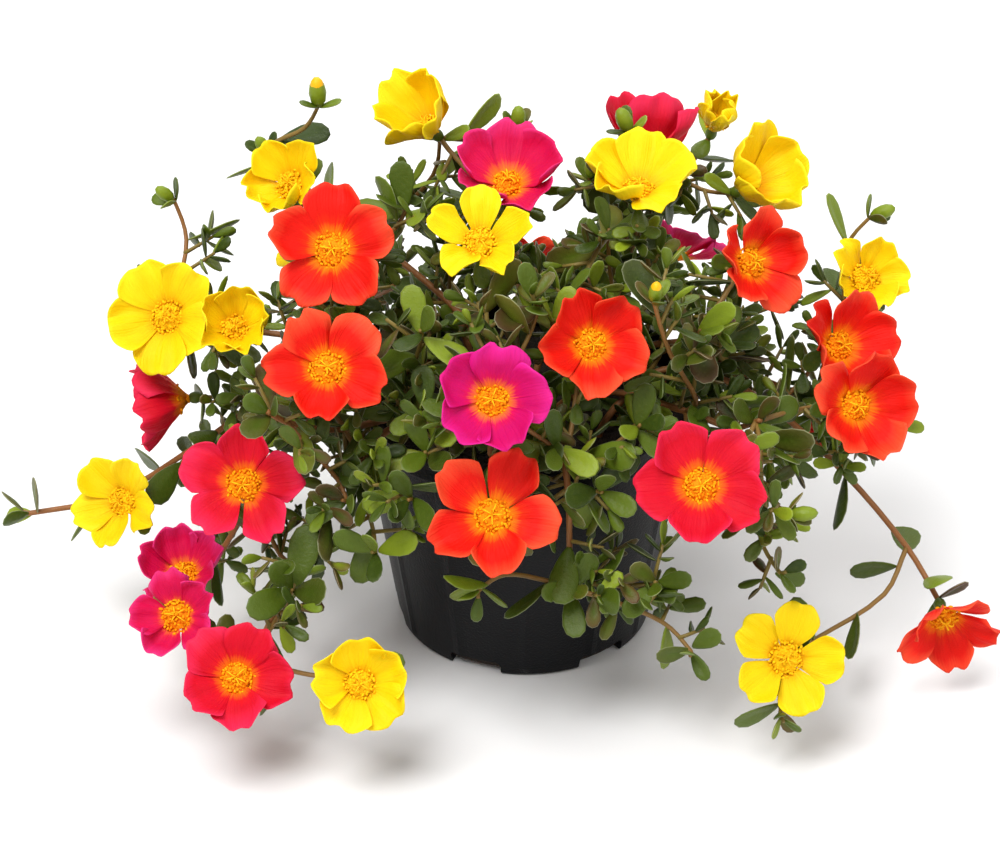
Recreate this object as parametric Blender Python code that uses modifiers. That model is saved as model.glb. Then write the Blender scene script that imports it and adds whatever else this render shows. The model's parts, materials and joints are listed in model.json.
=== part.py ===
"""Portulaca in a black nursery pot: a ribbed pot, its soil, leafy stems that spill over the rim, and blooms.

Metres, +Z up. The origin is the centre of the pot's underside, and the show side faces -Y.
"""

import math
import random
from collections import namedtuple

import bmesh
import bpy
from mathutils import Matrix, Vector
from mathutils.bvhtree import BVHTree
from mathutils.geometry import interpolate_bezier

# Driving dimensions
POT_TOP_RADIUS = 0.060
POT_BASE_RADIUS = 0.0447
POT_HEIGHT = 0.093
POT_WALL = 0.0013
POT_FLOOR = 0.0016
RIM_HEIGHT = 0.011
RIM_PROUD = 0.0022
POT_SIDES = 36
RIB_EVERY = 3
RIB_PROUD = 0.0006
DRAIN_COUNT = 6
DRAIN_WIDTH = 0.019
DRAIN_HEIGHT = 0.0055
DRAIN_TURN = math.radians(-113)
SOIL_BELOW_RIM = 0.009
ROOT_DEPTH = 0.012
GAP = 0.0003
CLEARANCE = 0.0005
STEM_GAP = 0.0006

STEM_RADIUS = 0.0014
TWIG_RADIUS = 0.00095
LEAF_LENGTH = 0.0170
LEAF_THICK = 0.0012
PETAL_THICK = 0.0009
SEED = 11

# The plant is laid out on an upright sheet seen from the show side. A place is a point on the sheet, in
# steps across and down, and how far behind the pot's axis it lies
EYE = Vector((-0.0088, -0.946, 0.654))
LOOK_DOWN = math.radians(31.5)
SHEET_STEPS = 3151
SHEET_CENTRE = (500, 429)

Bloom = namedtuple("Bloom", "name colour across down depth turn lift width cup slim")
Tip = namedtuple("Tip", "kind across down depth turn lift size")
End = namedtuple("End", "point aim kind size carries")

BLOOMS = (
    Bloom("yellow_top", "yellow", 428, 126, 0.030, -50, 50, 0.046, 0.80, 0.95),
    Bloom("pink_top", "pink", 508, 182, 0.010, 0, 68, 0.046, 0.40, 1.0),
    Bloom("yellow_star", "yellow", 480, 242, -0.030, -5, 55, 0.040, 0.30, 0.72),
    Bloom("yellow_upper_left", "yellow", 290, 184, 0.020, -28, 42, 0.036, 0.60, 0.95),
    Bloom("orange_upper_left", "orange", 332, 250, -0.030, 0, 38, 0.046, 0.20, 0.9),
    Bloom("yellow_far_left", "yellow", 167, 317, 0.000, -12, 34, 0.043, 0.22, 1.0),
    Bloom("yellow_left", "yellow", 236, 328, -0.020, 8, 52, 0.034, 0.60, 1.1),
    Bloom("orange_left", "orange", 327, 368, -0.060, 4, 40, 0.044, 0.22, 0.9),
    Bloom("magenta_middle", "magenta", 492, 400, -0.075, 0, 36, 0.042, 0.38, 1.05),
    Bloom("orange_middle", "orange", 592, 345, -0.050, 12, 34, 0.042, 0.32, 0.95),
    Bloom("yellow_upper_right", "yellow", 639, 188, 0.000, 4, 74, 0.044, 0.30, 0.95),
    Bloom("red_behind", "red", 648, 148, 0.048, 172, 52, 0.048, 0.60, 1.0),
    Bloom("yellow_bud_bloom", "yellow", 716, 122, 0.080, 35, 66, 0.028, 1.00, 0.9),
    Bloom("yellow_top_right", "yellow", 748, 184, 0.022, 50, 44, 0.048, 0.65, 1.0),
    Bloom("orange_upper_right", "orange", 752, 262, -0.018, 36, 30, 0.041, 0.46, 0.95),
    Bloom("yellow_far_right", "yellow", 866, 278, 0.020, 22, 44, 0.033, 0.45, 1.0),
    Bloom("orange_right_upper", "orange", 840, 346, -0.010, 36, 34, 0.044, 0.50, 1.0),
    Bloom("orange_right_lower", "orange", 856, 406, -0.040, 28, 24, 0.044, 0.40, 1.0),
    Bloom("red_right", "red", 701, 486, -0.090, 0, 38, 0.045, 0.22, 1.0),
    Bloom("orange_low_middle", "orange", 492, 516, -0.085, 0, 44, 0.047, 0.15, 0.85),
    Bloom("yellow_low_right", "yellow", 786, 659, -0.090, 4, 34, 0.041, 0.20, 0.85),
    Bloom("orange_trailing", "orange", 944, 618, -0.055, 8, -14, 0.042, 0.42, 0.85),
    Bloom("yellow_low_left", "yellow", 122, 502, -0.020, -34, 32, 0.038, 0.35, 0.9),
    Bloom("red_side", "red", 178, 400, 0.000, -80, -4, 0.044, 0.62, 0.9),
    Bloom("red_left", "red", 243, 485, -0.060, -4, 32, 0.045, 0.22, 0.85),
    Bloom("pink_left_upper", "pink", 183, 574, -0.044, -10, 66, 0.038, 0.50, 0.95),
    Bloom("pink_left_lower", "pink", 177, 616, -0.078, -8, 42, 0.034, 0.30, 0.9),
    Bloom("red_low_left", "red", 236, 678, -0.101, 0, 42, 0.041, 0.30, 1.0),
    Bloom("yellow_low_middle", "yellow", 360, 684, -0.105, 6, 34, 0.037, 0.30, 1.1),
    Bloom("red_right_back", "red", 812, 432, 0.020, 78, 12, 0.030, 0.90, 0.9),
    Bloom("yellow_back_left", "yellow", 330, 262, 0.105, -150, 40, 0.042, 0.25, 1.0),
    Bloom("orange_back", "orange", 520, 272, 0.120, 175, 38, 0.045, 0.22, 0.95),
    Bloom("pink_back_right", "pink", 676, 252, 0.110, 150, 42, 0.041, 0.30, 1.0),
    Bloom("yellow_back_low", "yellow", 590, 380, 0.125, 168, 30, 0.039, 0.30, 1.0),
)

# Leafy tips and buds that the stems end in where they carry no bloom
TIPS = (
    Tip("rosette", 22, 512, -0.010, -80, 15, 0.9),
    Tip("bud", 168, 196, 0.030, -60, 45, 0.9),
    Tip("bud", 264, 148, 0.050, -40, 60, 0.9),
    Tip("bud", 318, 98, 0.040, -10, 80, 1.2),
    Tip("bud", 378, 136, 0.030, -20, 75, 1.1),
    Tip("rosette", 403, 206, 0.000, -30, 60, 1.2),
    Tip("bud", 518, 122, 0.030, 10, 80, 1.0),
    Tip("bud", 590, 172, 0.020, 0, 80, 0.8),
    Tip("bud", 626, 124, 0.020, -50, 65, 1.1),
    Tip("bud", 655, 296, -0.060, 10, 70, 0.9),
    Tip("bud", 878, 214, 0.030, 75, 30, 1.0),
    Tip("rosette", 902, 424, -0.010, 60, 20, 0.75),
    Tip("bud", 798, 514, -0.080, 80, 10, 1.0),
    Tip("rosette", 786, 572, -0.080, 45, 30, 0.7),
    Tip("rosette", 690, 656, -0.090, -10, 5, 0.8),
    Tip("rosette", 784, 722, -0.105, 15, -10, 0.6),
    Tip("rosette", 570, 588, -0.078, 0, 40, 1.0),
    Tip("rosette", 478, 598, -0.080, -10, -30, 0.75),
    Tip("rosette", 655, 582, -0.078, -10, 40, 0.9),
    Tip("rosette", 292, 590, -0.080, 0, 40, 1.35),
    Tip("rosette", 268, 412, -0.070, -10, 40, 1.0),
    Tip("rosette", 372, 552, -0.075, -20, 30, 1.0),
    Tip("rosette", 425, 452, -0.066, -20, 40, 1.1),
    Tip("rosette", 558, 448, -0.068, 10, 35, 1.1),
    Tip("rosette", 602, 492, -0.072, 20, 30, 1.1),
    Tip("rosette", 408, 500, -0.074, -20, 20, 1.0),
    Tip("rosette", 342, 500, -0.068, -30, 30, 1.0),
    Tip("rosette", 640, 425, -0.060, 15, 45, 1.0),
    Tip("rosette", 760, 420, -0.050, 30, 40, 1.0),
    Tip("rosette", 540, 300, -0.045, 0, 60, 1.1),
    Tip("rosette", 700, 330, -0.040, 20, 50, 1.1),
    Tip("rosette", 420, 330, -0.045, -15, 55, 1.1),
)

# Short leafy tips that fill the mound, spread over a dome
DOME_CENTRE = Vector((0.004, 0.008, 0.080))
DOME_RADII = Vector((0.098, 0.086, 0.072))
DOME_TIPS = 18
DOME_LOWEST = -0.15
GOLDEN_ANGLE = math.pi * (3 - math.sqrt(5))

STEM_COUNT = 20


def place(across, down, depth):
    """The point that lies at depth behind the pot's axis on the line of sight through the sheet's point."""
    ahead = Vector((0, math.cos(LOOK_DOWN), -math.sin(LOOK_DOWN)))
    up = Vector((0, math.sin(LOOK_DOWN), math.cos(LOOK_DOWN)))
    sight = ahead + up * ((SHEET_CENTRE[1] - down) / SHEET_STEPS)
    sight.x = (across - SHEET_CENTRE[0]) / SHEET_STEPS
    return EYE + sight * ((depth - EYE.y) / sight.y)


def facing(turn, lift):
    """Unit direction turned from the show side towards +X, then lifted above the horizontal, in degrees."""
    turn, lift = math.radians(turn), math.radians(lift)
    return Vector((math.sin(turn) * math.cos(lift), -math.cos(turn) * math.cos(lift), math.sin(lift)))


def frame_along(direction, spin=0.0):
    """Rotation whose Z axis is direction, spun about it."""
    return direction.to_track_quat("Z", "Y").to_matrix() @ Matrix.Rotation(spin, 3, "Z")


def shape_mesh(bm, point_of):
    for vert in bm.verts:
        vert.co = point_of(vert.co)


def mesh_object(name, bm, collection):
    if bm.calc_volume(signed=True) < 0:
        bmesh.ops.reverse_faces(bm, faces=bm.faces)
    mesh = bpy.data.meshes.new(name)
    bm.to_mesh(mesh)
    bm.free()
    obj = bpy.data.objects.new(name, mesh)
    collection.objects.link(obj)
    return obj


# Petals and the bloom

PETALS = 5
PETAL_RING = 8
PETAL_BASE_WIDTH = 0.14
PETAL_NOTCH = 0.12
PETAL_ROUNDING = 0.34
PETAL_SWELL = 1.5
PETAL_WIDEST = 0.76
PETAL_LAP = 0.085
PETAL_DISH = 0.11
RECEPTACLE = 0.0021
TUFT_RADIUS = 0.0064
TUFT_HEIGHT = 0.0056
TUFT_SIDES = 7


def petal_point(bloom, along, across, lap, wave):
    """Point of a petal that leaves the bloom's base along +X; along is 0 at the base and 1 at the tip."""
    length = 0.5 * bloom.width / (0.78 + 0.22 * math.cos(math.radians(60 * bloom.cup)))
    rise_base = math.radians(36 + 6 * bloom.cup)
    rise_tip = math.radians(-12 + 104 * bloom.cup)
    tip_line = 1 - PETAL_NOTCH * math.exp(-((across / 0.19) ** 2)) - PETAL_ROUNDING * abs(across) ** 2.7
    reach = along * tip_line
    rise = rise_base + (rise_tip - rise_base) * reach
    bend = rise_tip - rise_base
    out = RECEPTACLE * 0.6 + length * (math.sin(rise) - math.sin(rise_base)) / bend
    up = length * (math.cos(rise_base) - math.cos(rise)) / bend
    swell = math.sin(0.5 * math.pi * min(1.0, reach / PETAL_WIDEST)) ** PETAL_SWELL
    half = (0.47 - 0.17 * max(0.0, bloom.cup - 0.3)) * length * bloom.slim
    half *= (PETAL_BASE_WIDTH + (1 - PETAL_BASE_WIDTH) * swell)
    side = across * half * (1.0 - 0.6 * max(0.0, reach - PETAL_WIDEST))
    off = length * reach * (PETAL_LAP * across * lap + PETAL_DISH * across * across)
    off += wave * length * 0.035 * math.cos(2.5 * math.pi * across) * reach * reach
    return Vector((out - off * math.sin(rise), side, up + off * math.cos(rise))), rise


def petal_blank(bloom, lap, wave):
    """A closed lens whose rim is the petal's outline and whose two poles give its thickness."""
    outline = ((1.0, 0.0), (1.0, 0.52), (1.0, 1.0), (0.5, 0.62), (0.0, 0.0))
    bm = bmesh.new()
    bmesh.ops.create_uvsphere(bm, u_segments=PETAL_RING, v_segments=2, radius=1)

    def point_of(co):
        if abs(co.z) > 0.5:
            middle, rise = petal_point(bloom, 0.6, 0.0, lap, wave)
            lift = Vector((-math.sin(rise), 0, math.cos(rise)))
            return middle + lift * (math.copysign(PETAL_THICK / 2, co.z) - 0.0004)
        corner = round(abs(math.degrees(math.atan2(co.y, co.x))) / 45)
        along, across = outline[corner]
        return petal_point(bloom, along, math.copysign(across, co.y), lap, wave)[0]

    shape_mesh(bm, point_of)
    return bm


def bloom_matrix(bloom, spin):
    direction = facing(bloom.turn, bloom.lift)
    return Matrix.Translation(bloom_base(bloom)) @ frame_along(direction, spin).to_4x4()


def bloom_base(bloom):
    """The bloom's base: the sheet gives the middle of its eye, which stands above the base."""
    return place(bloom.across, bloom.down, bloom.depth) - facing(bloom.turn, bloom.lift) * TUFT_HEIGHT * 0.6


def bloom_pieces(bloom, number):
    """Bmeshes of the bloom's petals, receptacle and tuft, in place."""
    draw = random.Random(SEED * 1000 + number)
    spin = draw.uniform(0, 2 * math.pi)
    whole = bloom_matrix(bloom, spin)
    pieces = []
    for k in range(PETALS):
        turned = Matrix.Rotation(2 * math.pi * k / PETALS + draw.uniform(-0.07, 0.07), 4, "Z")
        tipped = Matrix.Rotation(draw.uniform(-0.12, 0.10), 4, "Y")
        bm = petal_blank(bloom, 1.0, draw.uniform(0.4, 1.4))
        bm.transform(whole @ turned @ tipped)
        pieces.append(bm)
    pieces.append(tuft_blank(bloom, whole))
    return pieces


def tuft_blank(bloom, whole):
    """The receptacle and the stamens' brush as one flared, ragged-topped cone inside the petals."""
    flare = TUFT_RADIUS * (1 - 0.42 * min(1.0, bloom.cup))
    bm = bmesh.new()
    bmesh.ops.create_cone(
        bm, cap_ends=True, segments=TUFT_SIDES, radius1=RECEPTACLE, radius2=flare, depth=TUFT_HEIGHT
    )

    def point_of(co):
        if co.z < 0:
            return Vector((co.x, co.y, -0.001))
        ragged = round(math.degrees(math.atan2(co.y, co.x)) * TUFT_SIDES / 360) % TUFT_SIDES % 2
        spread = 1.1 - 0.25 * ragged
        return Vector((co.x * spread, co.y * spread, TUFT_HEIGHT * (0.85 + 0.3 * ragged)))

    shape_mesh(bm, point_of)
    bm.transform(whole)
    return bm


# Leaves

LEAF_RING = 6


def leaf_point(co, length, width, thick, bend, cup):
    """Maps the unit sphere to an obovate, fleshy leaf along +X with its upper face towards +Z."""
    along = (1 + co.x) / 2
    side = co.y * (0.42 + 0.78 * along) * width / 2
    up = co.z * thick / 2 + bend * length * along * along + cup * width * (2 * side / width) ** 2
    return Vector((along * length, side, up))


def leaf_blank(length, width, bend, cup, grow=0.0):
    bm = bmesh.new()
    bmesh.ops.create_uvsphere(bm, u_segments=LEAF_RING, v_segments=2, radius=1)
    shape_mesh(bm, lambda co: leaf_point(co, length + grow, width + grow, LEAF_THICK + grow, bend, cup))
    return bm


def leaf_matrix(root, axis, around, spread, roll):
    """A leaf rooted on a stem at root, leaning spread away from the stem's axis, at angle around it."""
    across = frame_along(axis) @ Vector((math.cos(around), math.sin(around), 0))
    along = axis * math.cos(spread) + across * math.sin(spread)
    upper = axis * math.sin(spread) - across * math.cos(spread)
    side = upper.cross(along)
    turned = Matrix((along, side, upper)).transposed().to_4x4()
    return Matrix.Translation(root) @ turned @ Matrix.Rotation(roll, 4, "X")


# What is already in place, so that what grows later bends clear of it


class Taken:
    """The surfaces already in place, each with the node that it belongs to."""

    def __init__(self):
        self.entries = []

    def add(self, node, bm):
        low = Vector([min(v.co[i] for v in bm.verts) for i in range(3)])
        high = Vector([max(v.co[i] for v in bm.verts) for i in range(3)])
        self.entries.append((node, low, high, BVHTree.FromBMesh(bm)))

    def near(self, point, within, node, beside=None):
        """Whether a surface of another node than these two lies within that distance of the point."""
        for owner, low, high, tree in self.entries:
            inside = all(low[i] - within < point[i] < high[i] + within for i in range(3))
            if owner in (node, beside) or not inside:
                continue
            if tree.find_nearest(point, within)[0] is not None:
                return True
        return False

    def crosses(self, bm, node):
        """Whether the mesh cuts another node's surface."""
        low = [min(v.co[i] for v in bm.verts) for i in range(3)]
        high = [max(v.co[i] for v in bm.verts) for i in range(3)]
        tree = BVHTree.FromBMesh(bm)
        for owner, other_low, other_high, other in self.entries:
            if owner == node or any(low[i] > other_high[i] or high[i] < other_low[i] for i in range(3)):
                continue
            if tree.overlap(other):
                return True
        return False


SOIL_TOP = POT_HEIGHT - SOIL_BELOW_RIM
SOIL_CROWN = 0.002
SOIL_SIDES = 24
HOLE_SIDES = 5
HOLE_SLACK = 0.0005
HOLE_REACH = 0.04
FOOT_HEIGHT = 0.0035
GROUND_CLEAR = 0.0012


def pot_radius(z):
    return POT_BASE_RADIUS + (POT_TOP_RADIUS - RIM_PROUD - POT_BASE_RADIUS) * z / (POT_HEIGHT - RIM_HEIGHT)


FACES = [(place(b.across, b.down, b.depth), facing(b.turn, b.lift), b.width) for b in BLOOMS]
VIEW_OF_FACE = 0.026
FACE_SHARE = 0.43


def before_bloom(point):
    """Whether a point lies in the clear space before a bloom's face."""
    for middle, aim, width in FACES:
        offset = point - middle
        height = offset.dot(aim)
        if 0 < height < VIEW_OF_FACE and (offset - aim * height).length < width * FACE_SHARE:
            return True
    return False


def in_pot_or_ground(point, margin):
    """Whether a point is in the ground, in the soil or in the pot's wall."""
    if point.z < GROUND_CLEAR + margin:
        return True
    reach = math.hypot(point.x, point.y)
    if point.z > POT_HEIGHT + margin:
        return False
    if point.z > SOIL_TOP + margin:
        return POT_TOP_RADIUS - 0.0065 - margin < reach < POT_TOP_RADIUS + margin
    wall = POT_TOP_RADIUS if point.z > POT_HEIGHT - RIM_HEIGHT else pot_radius(point.z) + RIB_PROUD
    return reach < wall + margin


# Stems

Axis = namedtuple("Axis", "points radius kind aim size")
STRAIGHT_TIP = 0.003
SAMPLE_STEP = 0.0018
FORKS_TRIED = 90
FOOT_RINGS = ((7, 0.013), (13, 0.034))
RAISES = (0.0, 0.003, 0.006, 0.010, 0.015, 0.021, 0.028)
SWINGS = (0, 9, -9, 18, -18, 28, -28, 40, -40)
HANDLES = (1.0, 0.5, 1.7)
SOIL_RISE = 0.014
CREST_OUT = 0.004
CREST_UP = 0.009
CREST_LEAN = 0.016
HANG_BELOW = 0.035


def foot_of(number):
    """Where a stem comes out of the soil: feet stand on two rings."""
    for count, radius in FOOT_RINGS:
        if number < count:
            angle = 2 * math.pi * (number + 0.5) / count
            return Vector((radius * math.cos(angle), radius * math.sin(angle), SOIL_TOP))
        number -= count
    raise ValueError("more stems than feet")


def route(foot, end, raise_by, swing, handle):
    """A stem's centre line: up out of the soil, over the rim if its end hangs, and in along its aim."""
    tip = end.point - end.aim * STRAIGHT_TIP
    outward = Vector((tip.x, tip.y, 0))
    reach = outward.length
    outward = outward.normalized() if reach > 0.001 else Vector((0, -1, 0))
    outward = Matrix.Rotation(swing, 3, "Z") @ outward
    start = foot + Vector((0, 0, 0.003))
    hangs = reach > POT_TOP_RADIUS * 0.93 and tip.z < POT_HEIGHT + HANG_BELOW
    arrive = tip - end.aim * min(0.022, 0.35 * (tip - start).length) * handle
    if not hangs:
        knee = start + Vector((0, 0, 0.45 * (tip.z - start.z) + raise_by)) + outward * 0.004
        return interpolate_bezier(start, knee, arrive, tip, 5) + [end.point]
    crest = outward * (POT_TOP_RADIUS + CREST_OUT)
    crest.z = POT_HEIGHT + CREST_UP + raise_by
    lean = outward * CREST_LEAN
    first = interpolate_bezier(start, start + Vector((0, 0, SOIL_RISE)), crest - lean, crest, 3)
    second = interpolate_bezier(crest, crest + lean * min(1.6, 0.3 + reach * 8), arrive, tip, 5)
    return first[:-1] + second + [end.point]


def route_is_clear(points, radius, node, carries, taken):
    """Whether a tube along the points clears the pot, the ground and all nodes but what it carries."""
    for k in range(len(points) - 1):
        span = (points[k + 1] - points[k]).length
        steps = max(1, math.ceil(span / SAMPLE_STEP))
        for step in range(steps):
            point = points[k].lerp(points[k + 1], step / steps)
            if k > 0 and point.z < POT_HEIGHT + 0.01 and in_pot_or_ground(point, radius + CLEARANCE):
                return False
            beside = carries if k == len(points) - 2 else None
            if not beside and before_bloom(point):
                return False
            if taken.near(point, radius + CLEARANCE, node, beside):
                return False
    return True


def tube_bmesh(points, radius):
    """A tube through the points, as a curve with a bevel and caps, made a mesh with its caps welded."""
    curve = bpy.data.curves.new("tube", "CURVE")
    curve.dimensions = "3D"
    curve.bevel_depth = radius
    curve.bevel_resolution = 0
    curve.use_fill_caps = True
    spline = curve.splines.new("POLY")
    spline.points.add(len(points) - 1)
    for k, point in enumerate(points):
        spline.points[k].co = (*point, 1)
        spline.points[k].radius = 1.0 - 0.35 * k / (len(points) - 1)
    obj = bpy.data.objects.new("tube", curve)
    bpy.context.scene.collection.objects.link(obj)
    graph = bpy.context.evaluated_depsgraph_get()
    mesh = bpy.data.meshes.new_from_object(obj.evaluated_get(graph))
    bm = bmesh.new()
    bm.from_mesh(mesh)
    bmesh.ops.remove_doubles(bm, verts=bm.verts, dist=1e-6)
    bpy.data.objects.remove(obj)
    bpy.data.curves.remove(curve)
    bpy.data.meshes.remove(mesh)
    return bm


def ends():
    """Every stem's end: where it is, the way it points, what it carries and how large."""
    found = []
    for bloom in BLOOMS:
        aim = facing(bloom.turn, bloom.lift)
        base = bloom_base(bloom) - aim * (0.001 + STEM_GAP)
        found.append(End(base, aim, "bloom", 1.0, bloom.name))
    for tip in TIPS:
        point = place(tip.across, tip.down, tip.depth)
        found.append(End(point, facing(tip.turn, tip.lift), tip.kind, tip.size, None))
    for k in range(DOME_TIPS):
        height = 1 - (1 - DOME_LOWEST) * (k + 0.5) / DOME_TIPS
        ring = math.sqrt(max(0.0, 1 - height * height))
        turn = k * GOLDEN_ANGLE
        unit = Vector((ring * math.cos(turn), ring * math.sin(turn), height))
        point = DOME_CENTRE + Vector([unit[i] * DOME_RADII[i] for i in range(3)])
        found.append(End(point, (unit + Vector((0, 0, 0.5))).normalized(), "rosette", 1.0, None))
    return found


def grow_stems(taken):
    """Main stems to the ends that are farthest apart, then a twig to each other end from the nearest stem."""
    remaining = ends()
    mains = []
    chosen = []
    while len(chosen) < STEM_COUNT:
        def spare(end):
            apart = min([(end.point - other.point).length for other in chosen], default=1.0)
            return apart + 0.6 * math.hypot(end.point.x, end.point.y)
        best = max(remaining, key=spare)
        remaining.remove(best)
        chosen.append(best)
    chosen.sort(key=lambda end: math.hypot(end.point.x, end.point.y))
    inner, outer = chosen[: FOOT_RINGS[0][0]], chosen[FOOT_RINGS[0][0] :]
    for ring in (inner, outer):
        ring.sort(key=lambda end: math.atan2(end.point.y, end.point.x) % (2 * math.pi))
    for number, end in enumerate(inner + outer):
        node = f"stem_{len(mains) + 1:02d}"
        points = first_clear(node, foot_of(number), end, taken)
        if points is None:
            remaining.append(end)
            continue
        axis = Axis(points, STEM_RADIUS, end.kind, end.aim, end.size)
        add_tube(axis, node, taken)
        mains.append((node, [axis]))
    for end in sorted(remaining, key=lambda e: e.kind != "bloom"):
        grow_twig(end, mains, taken)
    return mains


def first_clear(node, foot, end, taken):
    """The first of a main stem's routes that clears everything, rooted in the soil, or None."""
    for raise_by in RAISES:
        for swing in SWINGS:
            for handle in HANDLES:
                points = route(foot, end, raise_by, math.radians(swing), handle)
                if route_is_clear(points, STEM_RADIUS, node, end.carries, taken):
                    return [foot - Vector((0, 0, ROOT_DEPTH))] + points
    return None


def add_tube(axis, node, taken):
    tube = tube_bmesh(axis.points, axis.radius)
    taken.add(node, tube)
    tube.free()


def grow_twig(end, mains, taken):
    """A side branch from the nearest fork that lets it through."""
    forks = []
    for node, axes in mains:
        for order, axis in enumerate(axes):
            points = axis.points
            for k in range(2 if order == 0 else 1, len(points) - 1):
                reach = (end.point - points[k]).length
                forks.append((abs(reach - 0.03) + 0.006 * len(axes) + 0.01 * order, node, axes, points, k))
    forks.sort(key=lambda fork: fork[0])
    for _, node, axes, points, k in forks[:FORKS_TRIED]:
        root = points[k]
        onward = (points[k + 1] - root).normalized()
        tip = end.point - end.aim * STRAIGHT_TIP
        span = (tip - root).length
        for bow in (0.0, 0.25, -0.2, 0.5):
            leave = root + (onward * (0.5 + bow) + Vector((0, 0, bow))) * span * 0.5
            knots = 3 if span < 0.03 else 4
            line = interpolate_bezier(root, leave, tip - end.aim * min(0.02, 0.4 * span), tip, knots)
            line.append(end.point)
            if route_is_clear(line, TWIG_RADIUS, node, end.carries, taken):
                axes.append(Axis(line, TWIG_RADIUS, end.kind, end.aim, end.size))
                add_tube(axes[-1], node, taken)
                return


# Leaves along the stems

LEAF_STEP = 0.0235
TIP_BARE = 0.006
FIRST_LEAF = 0.018


def along_axis(points, distance):
    """The point and direction at that distance along a line of points, or None past its end."""
    for a, b in zip(points, points[1:]):
        span = (b - a).length
        if distance <= span:
            return a.lerp(b, distance / span), (b - a).normalized()
        distance -= span
    return None


def leaf_wishes(axis, first, draw):
    """Each leaf that a stem would carry: root, axis direction, angle around, spread, size."""
    wishes = []
    length = sum((b - a).length for a, b in zip(axis.points, axis.points[1:]))
    around = draw.uniform(0, 2 * math.pi)
    distance = first
    while distance < length - TIP_BARE:
        root, direction = along_axis(axis.points, distance)
        around += GOLDEN_ANGLE + draw.uniform(-0.3, 0.3)
        wishes.append((root, direction, around, math.radians(draw.uniform(50, 68)), draw.uniform(0.95, 1.25)))
        distance += LEAF_STEP * draw.uniform(0.85, 1.2)
    tip = axis.points[-1]
    if axis.kind == "rosette":
        for k in range(4):
            around += GOLDEN_ANGLE
            root = tip - axis.aim * (0.0055 - 0.0014 * k)
            wishes.append((root, axis.aim, around, math.radians(76 - 14 * k), axis.size * (1.02 - 0.09 * k)))
    elif axis.kind == "bloom":
        for k in range(2):
            around += 2.6
            wishes.append((tip - axis.aim * 0.004, axis.aim, around, math.radians(82), 0.78))
    else:
        for k in range(3):
            around += 2.2
            wishes.append((tip - axis.aim * 0.004, axis.aim, around, math.radians(40 + 12 * k), 0.55))
    return wishes


def clear_leaf(wish, node, taken, draw):
    """The leaf as close to its wish as bends clear of the other nodes, or None."""
    root, direction, around, spread, size = wish
    length = LEAF_LENGTH * size
    width = length * draw.uniform(0.50, 0.60)
    bend, cup = draw.uniform(-0.10, 0.16), draw.uniform(0.05, 0.14)
    roll = draw.uniform(-0.3, 0.3)
    for turn in (0, 0.35, -0.35, 0.7, -0.7, 1.1, -1.1, 1.6, -1.6):
        for tilt in (0, -0.3, 0.3):
            matrix = leaf_matrix(root, direction, around + turn, spread + tilt, roll)
            wide = leaf_blank(length, width, bend, cup, grow=2 * CLEARANCE)
            wide.transform(matrix)
            beyond = [v.co for v in wide.verts if (v.co - root).length > 0.25 * length]
            clear = not any(in_pot_or_ground(co, 0.0) or before_bloom(co) for co in beyond)
            clear = clear and not taken.crosses(wide, node)
            wide.free()
            if clear:
                bm = leaf_blank(length, width, bend, cup)
                bm.transform(matrix)
                return bm, (matrix, length, width, bend, cup)
    return None, None


def bud_blank(axis):
    bm = bmesh.new()
    bmesh.ops.create_uvsphere(bm, u_segments=6, v_segments=3, radius=1)
    size = 0.0026 * axis.size
    shape_mesh(bm, lambda co: Vector((co.x * size, co.y * size, (co.z + 0.7) * size * 2.0)))
    bm.transform(Matrix.Translation(axis.points[-1]) @ frame_along(axis.aim).to_4x4())
    return bm


def dress_stems(mains, taken):
    """The leaves and buds of every stem, each clear of the other nodes, and the leaves' places and sizes."""
    pieces = {node: [] for node, _ in mains}
    shapes = {node: [] for node, _ in mains}
    for node, axes in mains:
        for axis in axes:
            if axis.kind == "bud":
                bud = bud_blank(axis)
                if not taken.crosses(bud, node):
                    taken.add(node, bud)
                    pieces[node].append(bud)
    for number, (node, axes) in enumerate(mains):
        draw = random.Random(SEED * 77 + number)
        for order, axis in enumerate(axes):
            for wish in leaf_wishes(axis, ROOT_DEPTH + FIRST_LEAF if order == 0 else 0.008, draw):
                bm, shape = clear_leaf(wish, node, taken, draw)
                if bm is not None:
                    taken.add(node, bm)
                    pieces[node].append(bm)
                    shapes[node].append(shape)
    return pieces, shapes


# Joining a node's pieces


def joined(name, base, pieces, collection):
    """base and the pieces as one body, by one Boolean union that is applied."""
    repeats = bpy.data.collections.new(name + "_repeats")
    bpy.context.scene.collection.children.link(repeats)
    bmesh.ops.triangulate(base, faces=base.faces)
    obj = mesh_object(name, base, collection)
    for k, bm in enumerate(pieces):
        bmesh.ops.triangulate(bm, faces=bm.faces)
        mesh_object(f"{name}_repeat_{k}", bm, repeats)
    union = obj.modifiers.new("Union", "BOOLEAN")
    union.operation = "UNION"
    union.operand_type = "COLLECTION"
    union.collection = repeats
    union.solver = "MANIFOLD"
    graph = bpy.context.evaluated_depsgraph_get()
    mesh = bpy.data.meshes.new_from_object(obj.evaluated_get(graph))
    obj.modifiers.clear()
    obj.data = mesh
    for repeat in list(repeats.objects):
        bpy.data.objects.remove(repeat)
    bpy.data.collections.remove(repeats)
    return obj


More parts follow.
